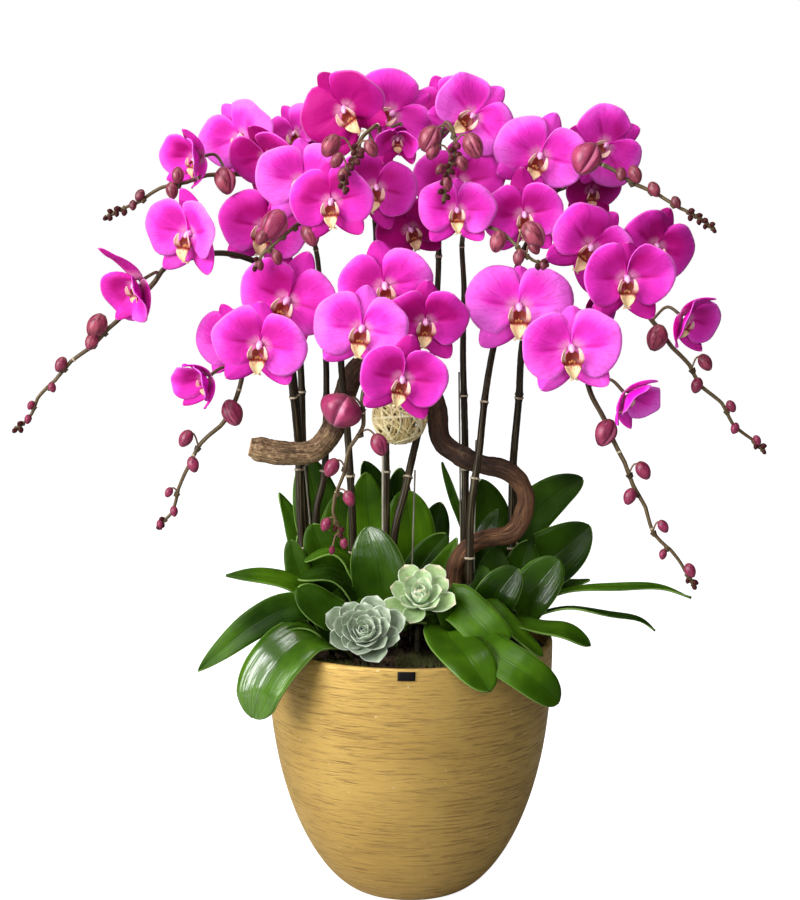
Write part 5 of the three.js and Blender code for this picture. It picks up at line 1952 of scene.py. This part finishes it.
def addColumn(sheets, width, tone):
    def column(a, b):
        turn = fullTurn * b
        body = sin(pi * (0.10 + 0.90 * a) ** 0.75) ** 0.55 if a < 1 else 0.0
        radius = max(0.0004, 0.036 * body * (0.85 + 0.25 * a))
        centre = Vector((0, 0.030 - 0.052 * a, 0.004 + 0.110 * a))
        return (centre + Vector((radius * cos(turn), radius * 1.1 * sin(turn), 0))
                ) * width, (a, b, tone, 0.0)

    sheets.closeEnds(sheets.grid(9, 12, column, 0, closed=True), 9, 12)
    for side in (-1, 0, 1):
        def callus(a, b):
            turn = fullTurn * b
            radius = 0.014 * sin(pi * mix(0.02, 0.98, a))
            centre = Vector((side * 0.024, -0.118 - 0.010 * abs(side), 0.058 + 0.036 * a))
            return (centre + Vector((radius * cos(turn), radius * 1.3 * sin(turn), 0))
                    ) * width, (a, b, tone, 0.0)

        sheets.closeEnds(sheets.grid(5, 8, callus, 1, closed=True), 5, 8, 1)


def petalMaterial(name, palest, middle, deepest, rim, glow):
    # the first shade is how deep the colour is there, painted shade included
    material, tree, shader = newMaterial(name, {"Roughness": 0.55, "Specular IOR Level": 0.12})
    uv, radial, _ = routeParts(tree)
    depth = shadeParts(tree)[0]
    cloud = bodyNoise(tree, 26.0, 2.0)
    deep = plus(tree, depth, times(tree, maths(
        tree, "SUBTRACT", cloud, 0.5), 0.95))
    base = ramp(tree, deep, [(0.0, palest), (0.45, middle), (1.0, deepest)])
    veins = noiseValue(tree, stretched(tree, uv, (1.6, 30.0, 1.0)), 1.7, 3.0, 0.6, 0.35)
    fine = noiseValue(tree, stretched(tree, uv, (9.0, 34.0, 1.0)), 1.5, 3.0, 0.6, 0.8)
    veined = blendColour(tree, times(tree, grey(tree, veins, 0.46, 0.66, 0.0, 0.42),
                                     grey(tree, radial, 1.0, 0.35, 0.35, 1.0)),
                         base, deepest)
    webbed = blendColour(tree, grey(tree, fine, 0.50, 0.68, 0.0, 0.20), veined, deepest)
    heart = times(tree, grey(tree, radial, 0.33, 0.12),
                  grey(tree, veins, 0.66, 0.38, 0.30, 1.0))
    glowing = blendColour(tree, heart, webbed, glow)
    edge = grey(tree, radial, 0.955, 0.99, 0.0, 0.4)
    paint(tree, shader, blendColour(tree, edge, glowing, rim))
    crumple = bodyNoise(tree, 60.0, 3.0, 0.6, 0.8)
    height = plus(tree, times(tree, veins, 0.7), times(tree, fine, 0.35))
    height = plus(tree, height, times(tree, crumple, 2.4))
    addBump(tree, shader, height, 0.40, 0.0011)
    return material


def lipMaterial(name, base, stripe, patch, patchTo, stripes):
    material, tree, shader = newMaterial(name, {"Roughness": 0.45})
    uv, along, _ = routeParts(tree)
    bands = noiseValue(tree, stretched(tree, uv, (2.0, stripes, 1)), 1.6, 3.0, 0.6)
    striped = blendColour(tree, times(tree, grey(tree, bands, 0.47, 0.56), grey(
        tree, along, patchTo + 0.30, patchTo - 0.10)), base, stripe)
    inner = grey(tree, along, patchTo, patchTo * 0.4)
    paint(tree, shader, blendColour(tree, inner, striped, patch))
    addBump(tree, shader, bands, 0.3, 0.0005)
    return material


def bloomMaterials():
    front = petalMaterial("petalFace", (0.92, 0.125, 0.80), (0.91, 0.015, 0.70),
                          (0.60, 0.0, 0.36), (0.96, 0.26, 0.88), (0.97, 0.48, 0.90))
    back = petalMaterial("petalBack", (0.94, 0.16, 0.84), (0.80, 0.035, 0.54),
                         (0.42, 0.003, 0.18), (0.86, 0.28, 0.68), (0.66, 0.28, 0.44))
    red = (0.24, 0.012, 0.008)
    throat = lipMaterial("lipThroat", (0.27, 0.026, 0.016), (0.09, 0.004, 0.004), red, 0.4, 44.0)
    ears = lipMaterial("lipEar", (0.93, 0.60, 0.50), (0.44, 0.04, 0.04), red, 0.52, 16.0)
    earBacks = lipMaterial("lipEarBack", (0.86, 0.50, 0.62), (0.60, 0.12, 0.26),
                           (0.72, 0.34, 0.44), 0.4, 12.0)
    tongue = lipMaterial("lipTongue", (0.90, 0.66, 0.36), (0.52, 0.08, 0.03), red, 0.26, 9.0)
    under = lipMaterial("lipUnder", (0.85, 0.68, 0.42), (0.62, 0.30, 0.22),
                        (0.70, 0.35, 0.30), 0.2, 5.0)
    column = lipMaterial("columnSkin", (0.95, 0.48, 0.80), (0.86, 0.18, 0.58),
                         (0.90, 0.32, 0.70), 0.45, 5.0)
    callus = lipMaterial("callusSkin", (0.60, 0.22, 0.07), (0.34, 0.04, 0.015),
                         (0.40, 0.05, 0.02), 0.4, 8.0)
    sheetMaterials = [front, back, ears, earBacks, tongue, under, throat, earBacks]
    return sheetMaterials, [column, callus]


def makeBloom(piece, one, sheetMaterials, solidMaterials, rng, tone, upper=1.0, lean=0.0):
    place, width, yaw, pitch, roll, cup = one
    width *= millimetre
    basis = flowerBasis(yaw, pitch, roll)
    centre = spot(place)
    thin = Sheets()
    addPetals(thin, width, cup, tone, lean, rng)
    addSepals(thin, width, cup, tone, upper, rng)
    small = 1.0 if cup < bloomShape["shutFrom"] else bloomShape["shutSize"]
    addLip(thin, width * small, tone, rng)
    solid = Sheets()
    addColumn(solid, width * small, tone)
    for sheets in (thin, solid):
        sheets.verts = [centre + basis @ point for point in sheets.verts]
    petals = thin.piece(piece, sheetMaterials)
    thicken(petals, bloomShape["thickness"], 1)
    joinPieces(petals, [solid.piece(piece + "_column", solidMaterials)])
    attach(petals, "root")
    return petals


def makeOrchids():
    materials = {"stem": stemMaterial(), "node": nodeMaterial(), "bud": budMaterial()}
    sheetMaterials, solidMaterials = bloomMaterials()
    for number, (name, spike) in enumerate(spikes.items()):
        rng = random.Random(40 + number)
        makeSpike(name, spike, materials, rng)
        for index, one in enumerate(spike["blooms"]):
            node = f"{name}_bloom_{index + 1}"
            flower = makeBloom(node.replace("bloom", "flower"), one, sheetMaterials,
                               solidMaterials, rng, *bloomMoods[name][index])
            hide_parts(node)
        for index, (*one, tone) in enumerate(hiddenBlooms.get(name, [])):
            makeBloom(f"{name}_rear_flower_{index + 1}", one, sheetMaterials, solidMaterials,
                      rng, tone)
    makeCanes()


makeOrchids()
print("stems, buds and blooms are made")
